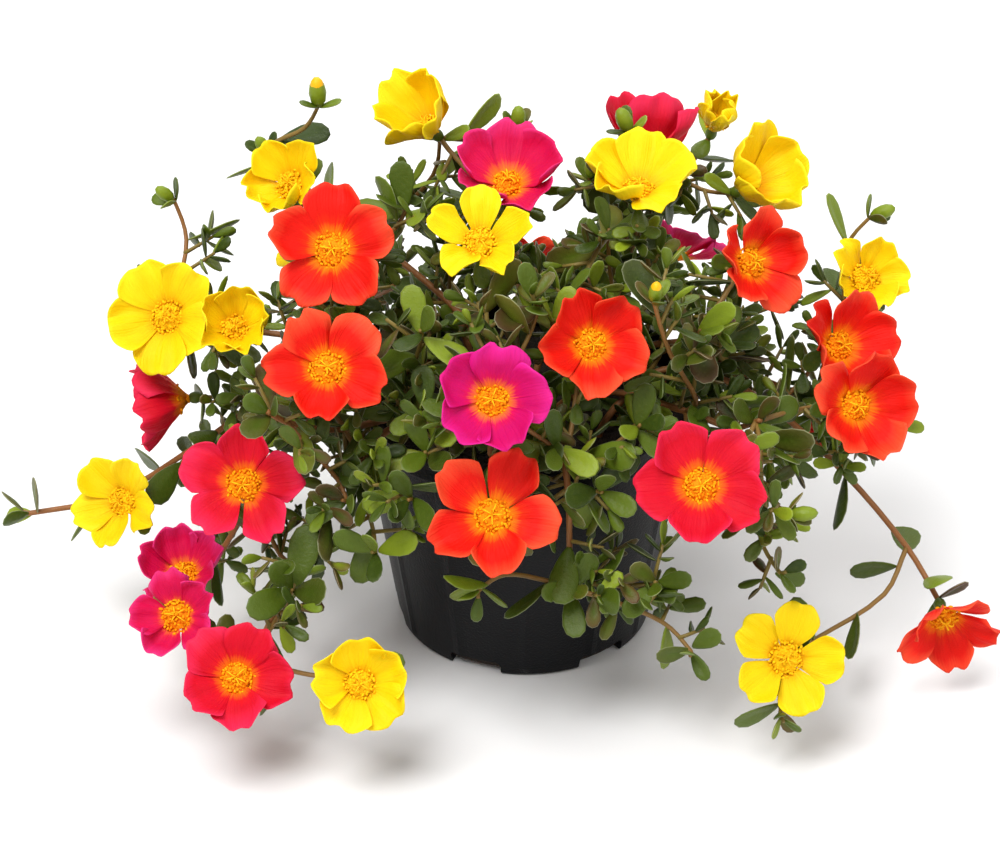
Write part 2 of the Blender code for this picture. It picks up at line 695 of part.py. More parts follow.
def largest_body(obj):
    """Drops loose scraps, so that the node is one body."""
    bm = bmesh.new()
    bm.from_mesh(obj.data)
    unseen = set(bm.verts)
    bodies = []
    while unseen:
        stack = [unseen.pop()]
        body = set(stack)
        while stack:
            for edge in stack.pop().link_edges:
                for vert in edge.verts:
                    if vert in unseen:
                        unseen.remove(vert)
                        body.add(vert)
                        stack.append(vert)
        bodies.append(body)
    keep = max(bodies, key=len)
    bmesh.ops.delete(bm, geom=[v for v in bm.verts if v not in keep], context="VERTS")
    bm.to_mesh(obj.data)
    bm.free()


# Pot and soil


def turned(name, profile, steps, collection):
    """A profile of (radius, height) pairs, outer side first and top to bottom, turned about Z."""
    bm = bmesh.new()
    verts = [bm.verts.new((radius, 0, height)) for radius, height in profile]
    for a, b in zip(verts, verts[1:]):
        bm.edges.new((a, b))
    mesh = bpy.data.meshes.new(name)
    bm.to_mesh(mesh)
    bm.free()
    obj = bpy.data.objects.new(name, mesh)
    collection.objects.link(obj)
    screw = obj.modifiers.new("Screw", "SCREW")
    screw.steps = steps
    screw.render_steps = steps
    screw.use_merge_vertices = True
    screw.merge_threshold = 0.00001
    screw.use_smooth_shade = False
    graph = bpy.context.evaluated_depsgraph_get()
    made = bpy.data.meshes.new_from_object(obj.evaluated_get(graph))
    obj.modifiers.clear()
    obj.data = made
    return obj


def pot_profile():
    below_rim = POT_HEIGHT - RIM_HEIGHT
    wall_top = POT_TOP_RADIUS - RIM_PROUD
    return (
        (POT_TOP_RADIUS - 0.0006, POT_HEIGHT),
        (POT_TOP_RADIUS, POT_HEIGHT - 0.0012),
        (POT_TOP_RADIUS, below_rim + 0.0015),
        (wall_top, below_rim),
        (POT_BASE_RADIUS + 0.0010, FOOT_HEIGHT),
        (POT_BASE_RADIUS - 0.0004, 0.0),
        (0, 0),
        (0, POT_FLOOR),
        (POT_BASE_RADIUS - POT_WALL, POT_FLOOR),
        (wall_top - POT_WALL, below_rim),
        (POT_TOP_RADIUS - POT_WALL, POT_HEIGHT - 0.0030),
        (POT_TOP_RADIUS - POT_WALL - 0.0002, POT_HEIGHT),
        (POT_TOP_RADIUS - 0.0006, POT_HEIGHT),
    )


def make_pot(collection, cutters):
    pot = turned("pot", pot_profile(), POT_SIDES, collection)
    bm = bmesh.new()
    bm.from_mesh(pot.data)
    bmesh.ops.remove_doubles(bm, verts=bm.verts, dist=1e-6)
    for vert in bm.verts:
        column = round(math.atan2(vert.co.y, vert.co.x) / (2 * math.pi) * POT_SIDES) % POT_SIDES
        reach = math.hypot(vert.co.x, vert.co.y)
        outside = reach > pot_radius(vert.co.z) - POT_WALL / 2
        on_wall = outside and FOOT_HEIGHT / 2 < vert.co.z < POT_HEIGHT - RIM_HEIGHT + 0.0001
        if on_wall and column % RIB_EVERY == 0:
            vert.co.x *= 1 + RIB_PROUD / reach
            vert.co.y *= 1 + RIB_PROUD / reach
    bmesh.ops.recalc_face_normals(bm, faces=bm.faces)
    bm.to_mesh(pot.data)
    bm.free()
    for k in range(DRAIN_COUNT):
        bm = bmesh.new()
        bmesh.ops.create_cube(bm, size=1)
        bmesh.ops.scale(bm, vec=(0.012, DRAIN_WIDTH, 2 * DRAIN_HEIGHT), verts=bm.verts)
        bmesh.ops.translate(bm, vec=(POT_BASE_RADIUS, 0, 0), verts=bm.verts)
        bm.transform(Matrix.Rotation(DRAIN_TURN + 2 * math.pi * k / DRAIN_COUNT, 4, "Z"))
        mesh_object(f"drain_cutter_{k}", bm, cutters)
    cut = pot.modifiers.new("Drains", "BOOLEAN")
    cut.operation = "DIFFERENCE"
    cut.operand_type = "COLLECTION"
    cut.collection = cutters
    return pot


def make_soil(collection, cutters, mains):
    low = POT_FLOOR + GAP
    inner_low = POT_BASE_RADIUS - POT_WALL - GAP - 0.0002
    inner_top = pot_radius(SOIL_TOP) - POT_WALL - GAP - 0.0004
    profile = ((0, SOIL_TOP + SOIL_CROWN), (inner_top, SOIL_TOP), (inner_low, low), (0, low))
    soil = turned("soil", profile, SOIL_SIDES, collection)
    bm = bmesh.new()
    bm.from_mesh(soil.data)
    bmesh.ops.remove_doubles(bm, verts=bm.verts, dist=1e-6)
    bmesh.ops.recalc_face_normals(bm, faces=bm.faces)
    bm.to_mesh(soil.data)
    bm.free()
    for node, axes in mains:
        bm = bmesh.new()
        wide = STEM_RADIUS + HOLE_SLACK
        bmesh.ops.create_cone(
            bm, cap_ends=True, segments=HOLE_SIDES, radius1=wide, radius2=wide, depth=HOLE_REACH
        )
        foot = axes[0].points[0]
        bm.transform(Matrix.Translation(foot + Vector((0, 0, HOLE_REACH / 2 - GAP - 0.0002))))
        mesh_object(f"{node}_hole_cutter", bm, cutters)
    cut = soil.modifiers.new("Holes", "BOOLEAN")
    cut.operation = "DIFFERENCE"
    cut.operand_type = "COLLECTION"
    cut.collection = cutters
    return soil


COLOURS = {
    "pot": ((0.012, 0.012, 0.014), 0.45),
    "soil": ((0.035, 0.022, 0.014), 0.95),
    "leaf": ((0.060, 0.145, 0.022), 0.45),
    "yellow": ((0.95, 0.78, 0.01), 0.6),
    "orange": ((0.90, 0.07, 0.01), 0.6),
    "red": ((0.80, 0.01, 0.04), 0.6),
    "pink": ((0.82, 0.02, 0.16), 0.6),
    "magenta": ((0.82, 0.005, 0.24), 0.6),
}


def paint(obj, name):
    material = bpy.data.materials.get(name) or bpy.data.materials.new(name)
    material.use_nodes = True
    shader = material.node_tree.nodes["Principled BSDF"]
    colour, roughness = COLOURS[name]
    shader.inputs["Base Color"].default_value = (*colour, 1)
    shader.inputs["Roughness"].default_value = roughness
    obj.data.materials.clear()
    obj.data.materials.append(material)


def cutter_collection(name):
    cutters = bpy.data.collections.new(name)
    bpy.context.scene.collection.children.link(cutters)
    return cutters


def hide_cutters(cutters):
    for obj in cutters.objects:
        obj.hide_render = True
        obj.display_type = "WIRE"


def main():
    for obj in list(bpy.data.objects):
        bpy.data.objects.remove(obj)
    plant = bpy.data.collections.new("portulaca")
    bpy.context.scene.collection.children.link(plant)
    taken = Taken()
    drains = cutter_collection("drain_cutters")
    pot = make_pot(plant, drains)
    pot_bm = bmesh.new()
    pot_bm.from_mesh(pot.data)
    taken.add("pot", pot_bm)
    pot_bm.free()
    bloom_parts = {}
    for number, bloom in enumerate(BLOOMS):
        pieces = bloom_pieces(bloom, number)
        bloom_parts[bloom.name] = pieces
        for bm in pieces:
            taken.add(bloom.name, bm)
    mains = grow_stems(taken)
    pieces, _ = dress_stems(mains, taken)
    holes = cutter_collection("hole_cutters")
    soil = make_soil(plant, holes, mains)
    paint(pot, "pot")
    paint(soil, "soil")
    for bloom in BLOOMS:
        parts = bloom_parts[bloom.name]
        obj = joined("bloom_" + bloom.name, parts[-1], parts[:-1], plant)
        largest_body(obj)
        paint(obj, bloom.colour)
    for node, axes in mains:
        tubes = [tube_bmesh(axis.points, axis.radius) for axis in axes]
        obj = joined(node, tubes[0], tubes[1:] + pieces[node], plant)
        largest_body(obj)
        paint(obj, "leaf")
    hide_cutters(drains)
    hide_cutters(holes)


main()
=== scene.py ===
"""Dresses the potted portulaca with fine petals, stamens, leaves, stems, soil and pot."""

import json
import math
import random
from collections import namedtuple

import bmesh
import bpy
from mathutils import Matrix, Vector, noise
from mathutils.bvhtree import BVHTree
from mathutils.geometry import interpolate_bezier

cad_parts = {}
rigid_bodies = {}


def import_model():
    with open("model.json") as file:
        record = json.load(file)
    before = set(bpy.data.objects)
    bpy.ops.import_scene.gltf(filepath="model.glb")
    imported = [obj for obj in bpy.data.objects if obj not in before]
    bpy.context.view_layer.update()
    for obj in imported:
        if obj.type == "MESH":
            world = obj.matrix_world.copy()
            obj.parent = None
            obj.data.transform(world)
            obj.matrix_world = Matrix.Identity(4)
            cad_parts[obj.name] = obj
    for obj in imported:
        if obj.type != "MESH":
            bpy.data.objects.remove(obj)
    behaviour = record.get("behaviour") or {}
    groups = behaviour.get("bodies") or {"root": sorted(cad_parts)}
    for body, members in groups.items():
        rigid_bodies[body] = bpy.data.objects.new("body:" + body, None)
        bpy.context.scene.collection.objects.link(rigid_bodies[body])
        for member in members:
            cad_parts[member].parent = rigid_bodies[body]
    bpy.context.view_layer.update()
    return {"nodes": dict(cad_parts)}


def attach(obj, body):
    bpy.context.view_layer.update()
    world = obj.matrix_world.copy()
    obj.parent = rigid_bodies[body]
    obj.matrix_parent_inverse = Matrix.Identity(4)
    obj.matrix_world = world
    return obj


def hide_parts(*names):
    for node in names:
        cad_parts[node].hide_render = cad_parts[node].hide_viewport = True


bl_info = {
    "name": "Potted portulaca",
    "version": (1, 0, 0),
    "blender": (4, 5, 0),
    "location": "View3D > Sidebar > Portulaca",
    "description": "Dresses a portulaca with petals, stamens, leaves, stems, soil and a ribbed pot",
    "category": "Object",
}

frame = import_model()

# Driving dimensions
POT_TOP_RADIUS = 0.060
POT_BASE_RADIUS = 0.0447
POT_HEIGHT = 0.093
POT_WALL = 0.0013
POT_FLOOR = 0.0016
RIM_HEIGHT = 0.011
RIM_PROUD = 0.0022
POT_SIDES = 36
RIB_EVERY = 3
RIB_PROUD = 0.0006
DRAIN_COUNT = 6
DRAIN_WIDTH = 0.019
DRAIN_HEIGHT = 0.0055
DRAIN_TURN = math.radians(-113)
SOIL_BELOW_RIM = 0.009
ROOT_DEPTH = 0.012
GAP = 0.0003
CLEARANCE = 0.0005
STEM_GAP = 0.0006

STEM_RADIUS = 0.0014
TWIG_RADIUS = 0.00095
LEAF_LENGTH = 0.0170
LEAF_THICK = 0.0012
PETAL_THICK = 0.0009
SEED = 11

# The plant is laid out on an upright sheet seen from the show side. A place is a point on the sheet, in
# steps across and down, and how far behind the pot's axis it lies
EYE = Vector((-0.0088, -0.946, 0.654))
LOOK_DOWN = math.radians(31.5)
SHEET_STEPS = 3151
SHEET_CENTRE = (500, 429)

Bloom = namedtuple("Bloom", "name colour across down depth turn lift width cup slim")
Tip = namedtuple("Tip", "kind across down depth turn lift size")
End = namedtuple("End", "point aim kind size carries")

BLOOMS = (
    Bloom("yellow_top", "yellow", 428, 126, 0.030, -50, 50, 0.046, 0.80, 0.95),
    Bloom("pink_top", "pink", 508, 182, 0.010, 0, 68, 0.046, 0.40, 1.0),
    Bloom("yellow_star", "yellow", 480, 242, -0.030, -5, 55, 0.040, 0.30, 0.72),
    Bloom("yellow_upper_left", "yellow", 290, 184, 0.020, -28, 42, 0.036, 0.60, 0.95),
    Bloom("orange_upper_left", "orange", 332, 250, -0.030, 0, 38, 0.046, 0.20, 0.9),
    Bloom("yellow_far_left", "yellow", 167, 317, 0.000, -12, 34, 0.043, 0.22, 1.0),
    Bloom("yellow_left", "yellow", 236, 328, -0.020, 8, 52, 0.034, 0.60, 1.1),
    Bloom("orange_left", "orange", 327, 368, -0.060, 4, 40, 0.044, 0.22, 0.9),
    Bloom("magenta_middle", "magenta", 492, 400, -0.075, 0, 36, 0.042, 0.38, 1.05),
    Bloom("orange_middle", "orange", 592, 345, -0.050, 12, 34, 0.042, 0.32, 0.95),
    Bloom("yellow_upper_right", "yellow", 639, 188, 0.000, 4, 74, 0.044, 0.30, 0.95),
    Bloom("red_behind", "red", 648, 148, 0.048, 172, 52, 0.048, 0.60, 1.0),
    Bloom("yellow_bud_bloom", "yellow", 716, 122, 0.080, 35, 66, 0.028, 1.00, 0.9),
    Bloom("yellow_top_right", "yellow", 748, 184, 0.022, 50, 44, 0.048, 0.65, 1.0),
    Bloom("orange_upper_right", "orange", 752, 262, -0.018, 36, 30, 0.041, 0.46, 0.95),
    Bloom("yellow_far_right", "yellow", 866, 278, 0.020, 22, 44, 0.033, 0.45, 1.0),
    Bloom("orange_right_upper", "orange", 840, 346, -0.010, 36, 34, 0.044, 0.50, 1.0),
    Bloom("orange_right_lower", "orange", 856, 406, -0.040, 28, 24, 0.044, 0.40, 1.0),
    Bloom("red_right", "red", 701, 486, -0.090, 0, 38, 0.045, 0.22, 1.0),
    Bloom("orange_low_middle", "orange", 492, 516, -0.085, 0, 44, 0.047, 0.15, 0.85),
    Bloom("yellow_low_right", "yellow", 786, 659, -0.090, 4, 34, 0.041, 0.20, 0.85),
    Bloom("orange_trailing", "orange", 944, 618, -0.055, 8, -14, 0.042, 0.42, 0.85),
    Bloom("yellow_low_left", "yellow", 122, 502, -0.020, -34, 32, 0.038, 0.35, 0.9),
    Bloom("red_side", "red", 178, 400, 0.000, -80, -4, 0.044, 0.62, 0.9),
    Bloom("red_left", "red", 243, 485, -0.060, -4, 32, 0.045, 0.22, 0.85),
    Bloom("pink_left_upper", "pink", 183, 574, -0.044, -10, 66, 0.038, 0.50, 0.95),
    Bloom("pink_left_lower", "pink", 177, 616, -0.078, -8, 42, 0.034, 0.30, 0.9),
    Bloom("red_low_left", "red", 236, 678, -0.101, 0, 42, 0.041, 0.30, 1.0),
    Bloom("yellow_low_middle", "yellow", 360, 684, -0.105, 6, 34, 0.037, 0.30, 1.1),
    Bloom("red_right_back", "red", 812, 432, 0.020, 78, 12, 0.030, 0.90, 0.9),
    Bloom("yellow_back_left", "yellow", 330, 262, 0.105, -150, 40, 0.042, 0.25, 1.0),
    Bloom("orange_back", "orange", 520, 272, 0.120, 175, 38, 0.045, 0.22, 0.95),
    Bloom("pink_back_right", "pink", 676, 252, 0.110, 150, 42, 0.041, 0.30, 1.0),
    Bloom("yellow_back_low", "yellow", 590, 380, 0.125, 168, 30, 0.039, 0.30, 1.0),
)

# Leafy tips and buds that the stems end in where they carry no bloom
TIPS = (
    Tip("rosette", 22, 512, -0.010, -80, 15, 0.9),
    Tip("bud", 168, 196, 0.030, -60, 45, 0.9),
    Tip("bud", 264, 148, 0.050, -40, 60, 0.9),
    Tip("bud", 318, 98, 0.040, -10, 80, 1.2),
    Tip("bud", 378, 136, 0.030, -20, 75, 1.1),
    Tip("rosette", 403, 206, 0.000, -30, 60, 1.2),
    Tip("bud", 518, 122, 0.030, 10, 80, 1.0),
    Tip("bud", 590, 172, 0.020, 0, 80, 0.8),
    Tip("bud", 626, 124, 0.020, -50, 65, 1.1),
    Tip("bud", 655, 296, -0.060, 10, 70, 0.9),
    Tip("bud", 878, 214, 0.030, 75, 30, 1.0),
    Tip("rosette", 902, 424, -0.010, 60, 20, 0.75),
    Tip("bud", 798, 514, -0.080, 80, 10, 1.0),
    Tip("rosette", 786, 572, -0.080, 45, 30, 0.7),
    Tip("rosette", 690, 656, -0.090, -10, 5, 0.8),
    Tip("rosette", 784, 722, -0.105, 15, -10, 0.6),
    Tip("rosette", 570, 588, -0.078, 0, 40, 1.0),
    Tip("rosette", 478, 598, -0.080, -10, -30, 0.75),
    Tip("rosette", 655, 582, -0.078, -10, 40, 0.9),
    Tip("rosette", 292, 590, -0.080, 0, 40, 1.35),
    Tip("rosette", 268, 412, -0.070, -10, 40, 1.0),
    Tip("rosette", 372, 552, -0.075, -20, 30, 1.0),
    Tip("rosette", 425, 452, -0.066, -20, 40, 1.1),
    Tip("rosette", 558, 448, -0.068, 10, 35, 1.1),
    Tip("rosette", 602, 492, -0.072, 20, 30, 1.1),
    Tip("rosette", 408, 500, -0.074, -20, 20, 1.0),
    Tip("rosette", 342, 500, -0.068, -30, 30, 1.0),
    Tip("rosette", 640, 425, -0.060, 15, 45, 1.0),
    Tip("rosette", 760, 420, -0.050, 30, 40, 1.0),
    Tip("rosette", 540, 300, -0.045, 0, 60, 1.1),
    Tip("rosette", 700, 330, -0.040, 20, 50, 1.1),
    Tip("rosette", 420, 330, -0.045, -15, 55, 1.1),
)

# Short leafy tips that fill the mound, spread over a dome
DOME_CENTRE = Vector((0.004, 0.008, 0.080))
DOME_RADII = Vector((0.098, 0.086, 0.072))
DOME_TIPS = 18
DOME_LOWEST = -0.15
GOLDEN_ANGLE = math.pi * (3 - math.sqrt(5))

STEM_COUNT = 20


def place(across, down, depth):
    """The point that lies at depth behind the pot's axis on the line of sight through the sheet's point."""
    ahead = Vector((0, math.cos(LOOK_DOWN), -math.sin(LOOK_DOWN)))
    up = Vector((0, math.sin(LOOK_DOWN), math.cos(LOOK_DOWN)))
    sight = ahead + up * ((SHEET_CENTRE[1] - down) / SHEET_STEPS)
    sight.x = (across - SHEET_CENTRE[0]) / SHEET_STEPS
    return EYE + sight * ((depth - EYE.y) / sight.y)


def facing(turn, lift):
    """Unit direction turned from the show side towards +X, then lifted above the horizontal, in degrees."""
    turn, lift = math.radians(turn), math.radians(lift)
    return Vector((math.sin(turn) * math.cos(lift), -math.cos(turn) * math.cos(lift), math.sin(lift)))


def frame_along(direction, spin=0.0):
    """Rotation whose Z axis is direction, spun about it."""
    return direction.to_track_quat("Z", "Y").to_matrix() @ Matrix.Rotation(spin, 3, "Z")


def shape_mesh(bm, point_of):
    for vert in bm.verts:
        vert.co = point_of(vert.co)


# Petals and the bloom

PETALS = 5
PETAL_RING = 8
PETAL_BASE_WIDTH = 0.14
PETAL_NOTCH = 0.12
PETAL_ROUNDING = 0.34
PETAL_SWELL = 1.5
PETAL_WIDEST = 0.76
PETAL_LAP = 0.085
PETAL_DISH = 0.11
RECEPTACLE = 0.0021
TUFT_RADIUS = 0.0064
TUFT_HEIGHT = 0.0056
TUFT_SIDES = 7


def petal_point(bloom, along, across, lap, wave):
    """Point of a petal that leaves the bloom's base along +X; along is 0 at the base and 1 at the tip."""
    length = 0.5 * bloom.width / (0.78 + 0.22 * math.cos(math.radians(60 * bloom.cup)))
    rise_base = math.radians(36 + 6 * bloom.cup)
    rise_tip = math.radians(-12 + 104 * bloom.cup)
    tip_line = 1 - PETAL_NOTCH * math.exp(-((across / 0.19) ** 2)) - PETAL_ROUNDING * abs(across) ** 2.7
    reach = along * tip_line
    rise = rise_base + (rise_tip - rise_base) * reach
    bend = rise_tip - rise_base
    out = RECEPTACLE * 0.6 + length * (math.sin(rise) - math.sin(rise_base)) / bend
    up = length * (math.cos(rise_base) - math.cos(rise)) / bend
    swell = math.sin(0.5 * math.pi * min(1.0, reach / PETAL_WIDEST)) ** PETAL_SWELL
    half = (0.47 - 0.17 * max(0.0, bloom.cup - 0.3)) * length * bloom.slim
    half *= (PETAL_BASE_WIDTH + (1 - PETAL_BASE_WIDTH) * swell)
    side = across * half * (1.0 - 0.6 * max(0.0, reach - PETAL_WIDEST))
    off = length * reach * (PETAL_LAP * across * lap + PETAL_DISH * across * across)
    off += wave * length * 0.035 * math.cos(2.5 * math.pi * across) * reach * reach
    return Vector((out - off * math.sin(rise), side, up + off * math.cos(rise))), rise


def petal_blank(bloom, lap, wave):
    """A closed lens whose rim is the petal's outline and whose two poles give its thickness."""
    outline = ((1.0, 0.0), (1.0, 0.52), (1.0, 1.0), (0.5, 0.62), (0.0, 0.0))
    bm = bmesh.new()
    bmesh.ops.create_uvsphere(bm, u_segments=PETAL_RING, v_segments=2, radius=1)

    def point_of(co):
        if abs(co.z) > 0.5:
            middle, rise = petal_point(bloom, 0.6, 0.0, lap, wave)
            lift = Vector((-math.sin(rise), 0, math.cos(rise)))
            return middle + lift * (math.copysign(PETAL_THICK / 2, co.z) - 0.0004)
        corner = round(abs(math.degrees(math.atan2(co.y, co.x))) / 45)
        along, across = outline[corner]
        return petal_point(bloom, along, math.copysign(across, co.y), lap, wave)[0]

    shape_mesh(bm, point_of)
    return bm


def bloom_matrix(bloom, spin):
    direction = facing(bloom.turn, bloom.lift)
    return Matrix.Translation(bloom_base(bloom)) @ frame_along(direction, spin).to_4x4()


def bloom_base(bloom):
    """The bloom's base: the sheet gives the middle of its eye, which stands above the base."""
    return place(bloom.across, bloom.down, bloom.depth) - facing(bloom.turn, bloom.lift) * TUFT_HEIGHT * 0.6


def bloom_pieces(bloom, number):
    """Bmeshes of the bloom's petals, receptacle and tuft, in place."""
    draw = random.Random(SEED * 1000 + number)
    spin = draw.uniform(0, 2 * math.pi)
    whole = bloom_matrix(bloom, spin)
    pieces = []
    for k in range(PETALS):
        turned = Matrix.Rotation(2 * math.pi * k / PETALS + draw.uniform(-0.07, 0.07), 4, "Z")
        tipped = Matrix.Rotation(draw.uniform(-0.12, 0.10), 4, "Y")
        bm = petal_blank(bloom, 1.0, draw.uniform(0.4, 1.4))
        bm.transform(whole @ turned @ tipped)
        pieces.append(bm)
    pieces.append(tuft_blank(bloom, whole))
    return pieces


def tuft_blank(bloom, whole):
    """The receptacle and the stamens' brush as one flared, ragged-topped cone inside the petals."""
    flare = TUFT_RADIUS * (1 - 0.42 * min(1.0, bloom.cup))
    bm = bmesh.new()
    bmesh.ops.create_cone(
        bm, cap_ends=True, segments=TUFT_SIDES, radius1=RECEPTACLE, radius2=flare, depth=TUFT_HEIGHT
    )

    def point_of(co):
        if co.z < 0:
            return Vector((co.x, co.y, -0.001))
        ragged = round(math.degrees(math.atan2(co.y, co.x)) * TUFT_SIDES / 360) % TUFT_SIDES % 2
        spread = 1.1 - 0.25 * ragged
        return Vector((co.x * spread, co.y * spread, TUFT_HEIGHT * (0.85 + 0.3 * ragged)))

    shape_mesh(bm, point_of)
    bm.transform(whole)
    return bm


# Leaves

LEAF_RING = 6


def leaf_point(co, length, width, thick, bend, cup):
    """Maps the unit sphere to an obovate, fleshy leaf along +X with its upper face towards +Z."""
    along = (1 + co.x) / 2
    side = co.y * (0.42 + 0.78 * along) * width / 2
    up = co.z * thick / 2 + bend * length * along * along + cup * width * (2 * side / width) ** 2
    return Vector((along * length, side, up))


def leaf_blank(length, width, bend, cup, grow=0.0):
    bm = bmesh.new()
    bmesh.ops.create_uvsphere(bm, u_segments=LEAF_RING, v_segments=2, radius=1)
    shape_mesh(bm, lambda co: leaf_point(co, length + grow, width + grow, LEAF_THICK + grow, bend, cup))
    return bm


def leaf_matrix(root, axis, around, spread, roll):
    """A leaf rooted on a stem at root, leaning spread away from the stem's axis, at angle around it."""
    across = frame_along(axis) @ Vector((math.cos(around), math.sin(around), 0))
    along = axis * math.cos(spread) + across * math.sin(spread)
    upper = axis * math.sin(spread) - across * math.cos(spread)
    side = upper.cross(along)
    turned = Matrix((along, side, upper)).transposed().to_4x4()
    return Matrix.Translation(root) @ turned @ Matrix.Rotation(roll, 4, "X")


# What is already in place, so that what grows later bends clear of it


class Taken:
    """The surfaces already in place, each with the node that it belongs to."""

    def __init__(self):
        self.entries = []

    def add(self, node, bm):
        low = Vector([min(v.co[i] for v in bm.verts) for i in range(3)])
        high = Vector([max(v.co[i] for v in bm.verts) for i in range(3)])
        self.entries.append((node, low, high, BVHTree.FromBMesh(bm)))

    def near(self, point, within, node, beside=None):
        """Whether a surface of another node than these two lies within that distance of the point."""
        for owner, low, high, tree in self.entries:
            inside = all(low[i] - within < point[i] < high[i] + within for i in range(3))
            if owner in (node, beside) or not inside:
                continue
            if tree.find_nearest(point, within)[0] is not None:
                return True
        return False

    def crosses(self, bm, node):
        """Whether the mesh cuts another node's surface."""
        low = [min(v.co[i] for v in bm.verts) for i in range(3)]
        high = [max(v.co[i] for v in bm.verts) for i in range(3)]
        tree = BVHTree.FromBMesh(bm)
        for owner, other_low, other_high, other in self.entries:
            if owner == node or any(low[i] > other_high[i] or high[i] < other_low[i] for i in range(3)):
                continue
            if tree.overlap(other):
                return True
        return False


SOIL_TOP = POT_HEIGHT - SOIL_BELOW_RIM
SOIL_CROWN = 0.002
FOOT_HEIGHT = 0.0035
GROUND_CLEAR = 0.0012


def pot_radius(z):
    return POT_BASE_RADIUS + (POT_TOP_RADIUS - RIM_PROUD - POT_BASE_RADIUS) * z / (POT_HEIGHT - RIM_HEIGHT)


FACES = [(place(b.across, b.down, b.depth), facing(b.turn, b.lift), b.width) for b in BLOOMS]
VIEW_OF_FACE = 0.026
FACE_SHARE = 0.43


def before_bloom(point, low=0.0, high=VIEW_OF_FACE, share=FACE_SHARE):
    """Whether a point lies in the clear space before a bloom's face."""
    for middle, aim, width in FACES:
        offset = point - middle
        height = offset.dot(aim)
        if low < height < high and (offset - aim * height).length < width * share:
            return True
    return False


def in_pot_or_ground(point, margin):
    """Whether a point is in the ground, in the soil or in the pot's wall."""
    if point.z < GROUND_CLEAR + margin:
        return True
    reach = math.hypot(point.x, point.y)
    if point.z > POT_HEIGHT + margin:
        return False
    if point.z > SOIL_TOP + margin:
        return POT_TOP_RADIUS - 0.0065 - margin < reach < POT_TOP_RADIUS + margin
    wall = POT_TOP_RADIUS if point.z > POT_HEIGHT - RIM_HEIGHT else pot_radius(point.z) + RIB_PROUD
    return reach < wall + margin


# Stems

Axis = namedtuple("Axis", "points radius kind aim size")
STRAIGHT_TIP = 0.003
SAMPLE_STEP = 0.0018
FORKS_TRIED = 90
FOOT_RINGS = ((7, 0.013), (13, 0.034))
RAISES = (0.0, 0.003, 0.006, 0.010, 0.015, 0.021, 0.028)
SWINGS = (0, 9, -9, 18, -18, 28, -28, 40, -40)
HANDLES = (1.0, 0.5, 1.7)
SOIL_RISE = 0.014
CREST_OUT = 0.004
CREST_UP = 0.009
CREST_LEAN = 0.016
HANG_BELOW = 0.035


def foot_of(number):
    """Where a stem comes out of the soil: feet stand on two rings."""
    for count, radius in FOOT_RINGS:
        if number < count:
            angle = 2 * math.pi * (number + 0.5) / count
            return Vector((radius * math.cos(angle), radius * math.sin(angle), SOIL_TOP))
        number -= count
    raise ValueError("more stems than feet")


def route(foot, end, raise_by, swing, handle):
    """A stem's centre line: up out of the soil, over the rim if its end hangs, and in along its aim."""
    tip = end.point - end.aim * STRAIGHT_TIP
    outward = Vector((tip.x, tip.y, 0))
    reach = outward.length
    outward = outward.normalized() if reach > 0.001 else Vector((0, -1, 0))
    outward = Matrix.Rotation(swing, 3, "Z") @ outward
    start = foot + Vector((0, 0, 0.003))
    hangs = reach > POT_TOP_RADIUS * 0.93 and tip.z < POT_HEIGHT + HANG_BELOW
    arrive = tip - end.aim * min(0.022, 0.35 * (tip - start).length) * handle
    if not hangs:
        knee = start + Vector((0, 0, 0.45 * (tip.z - start.z) + raise_by)) + outward * 0.004
        return interpolate_bezier(start, knee, arrive, tip, 5) + [end.point]
    crest = outward * (POT_TOP_RADIUS + CREST_OUT)
    crest.z = POT_HEIGHT + CREST_UP + raise_by
    lean = outward * CREST_LEAN
    first = interpolate_bezier(start, start + Vector((0, 0, SOIL_RISE)), crest - lean, crest, 3)
    second = interpolate_bezier(crest, crest + lean * min(1.6, 0.3 + reach * 8), arrive, tip, 5)
    return first[:-1] + second + [end.point]


def route_is_clear(points, radius, node, carries, taken):
    """Whether a tube along the points clears the pot, the ground and all nodes but what it carries."""
    for k in range(len(points) - 1):
        span = (points[k + 1] - points[k]).length
        steps = max(1, math.ceil(span / SAMPLE_STEP))
        for step in range(steps):
            point = points[k].lerp(points[k + 1], step / steps)
            if k > 0 and point.z < POT_HEIGHT + 0.01 and in_pot_or_ground(point, radius + CLEARANCE):
                return False
            beside = carries if k == len(points) - 2 else None
            if not beside and before_bloom(point):
                return False
            if taken.near(point, radius + CLEARANCE, node, beside):
                return False
    return True


def tube_bmesh(points, radius):
    """A tube through the points, as a curve with a bevel and caps, made a mesh with its caps welded."""
    curve = bpy.data.curves.new("tube", "CURVE")
    curve.dimensions = "3D"
    curve.bevel_depth = radius
    curve.bevel_resolution = 0
    curve.use_fill_caps = True
    spline = curve.splines.new("POLY")
    spline.points.add(len(points) - 1)
    for k, point in enumerate(points):
        spline.points[k].co = (*point, 1)
        spline.points[k].radius = 1.0 - 0.35 * k / (len(points) - 1)
    obj = bpy.data.objects.new("tube", curve)
    bpy.context.scene.collection.objects.link(obj)
    graph = bpy.context.evaluated_depsgraph_get()
    mesh = bpy.data.meshes.new_from_object(obj.evaluated_get(graph))
    bm = bmesh.new()
    bm.from_mesh(mesh)
    bmesh.ops.remove_doubles(bm, verts=bm.verts, dist=1e-6)
    bpy.data.objects.remove(obj)
    bpy.data.curves.remove(curve)
    bpy.data.meshes.remove(mesh)
    return bm


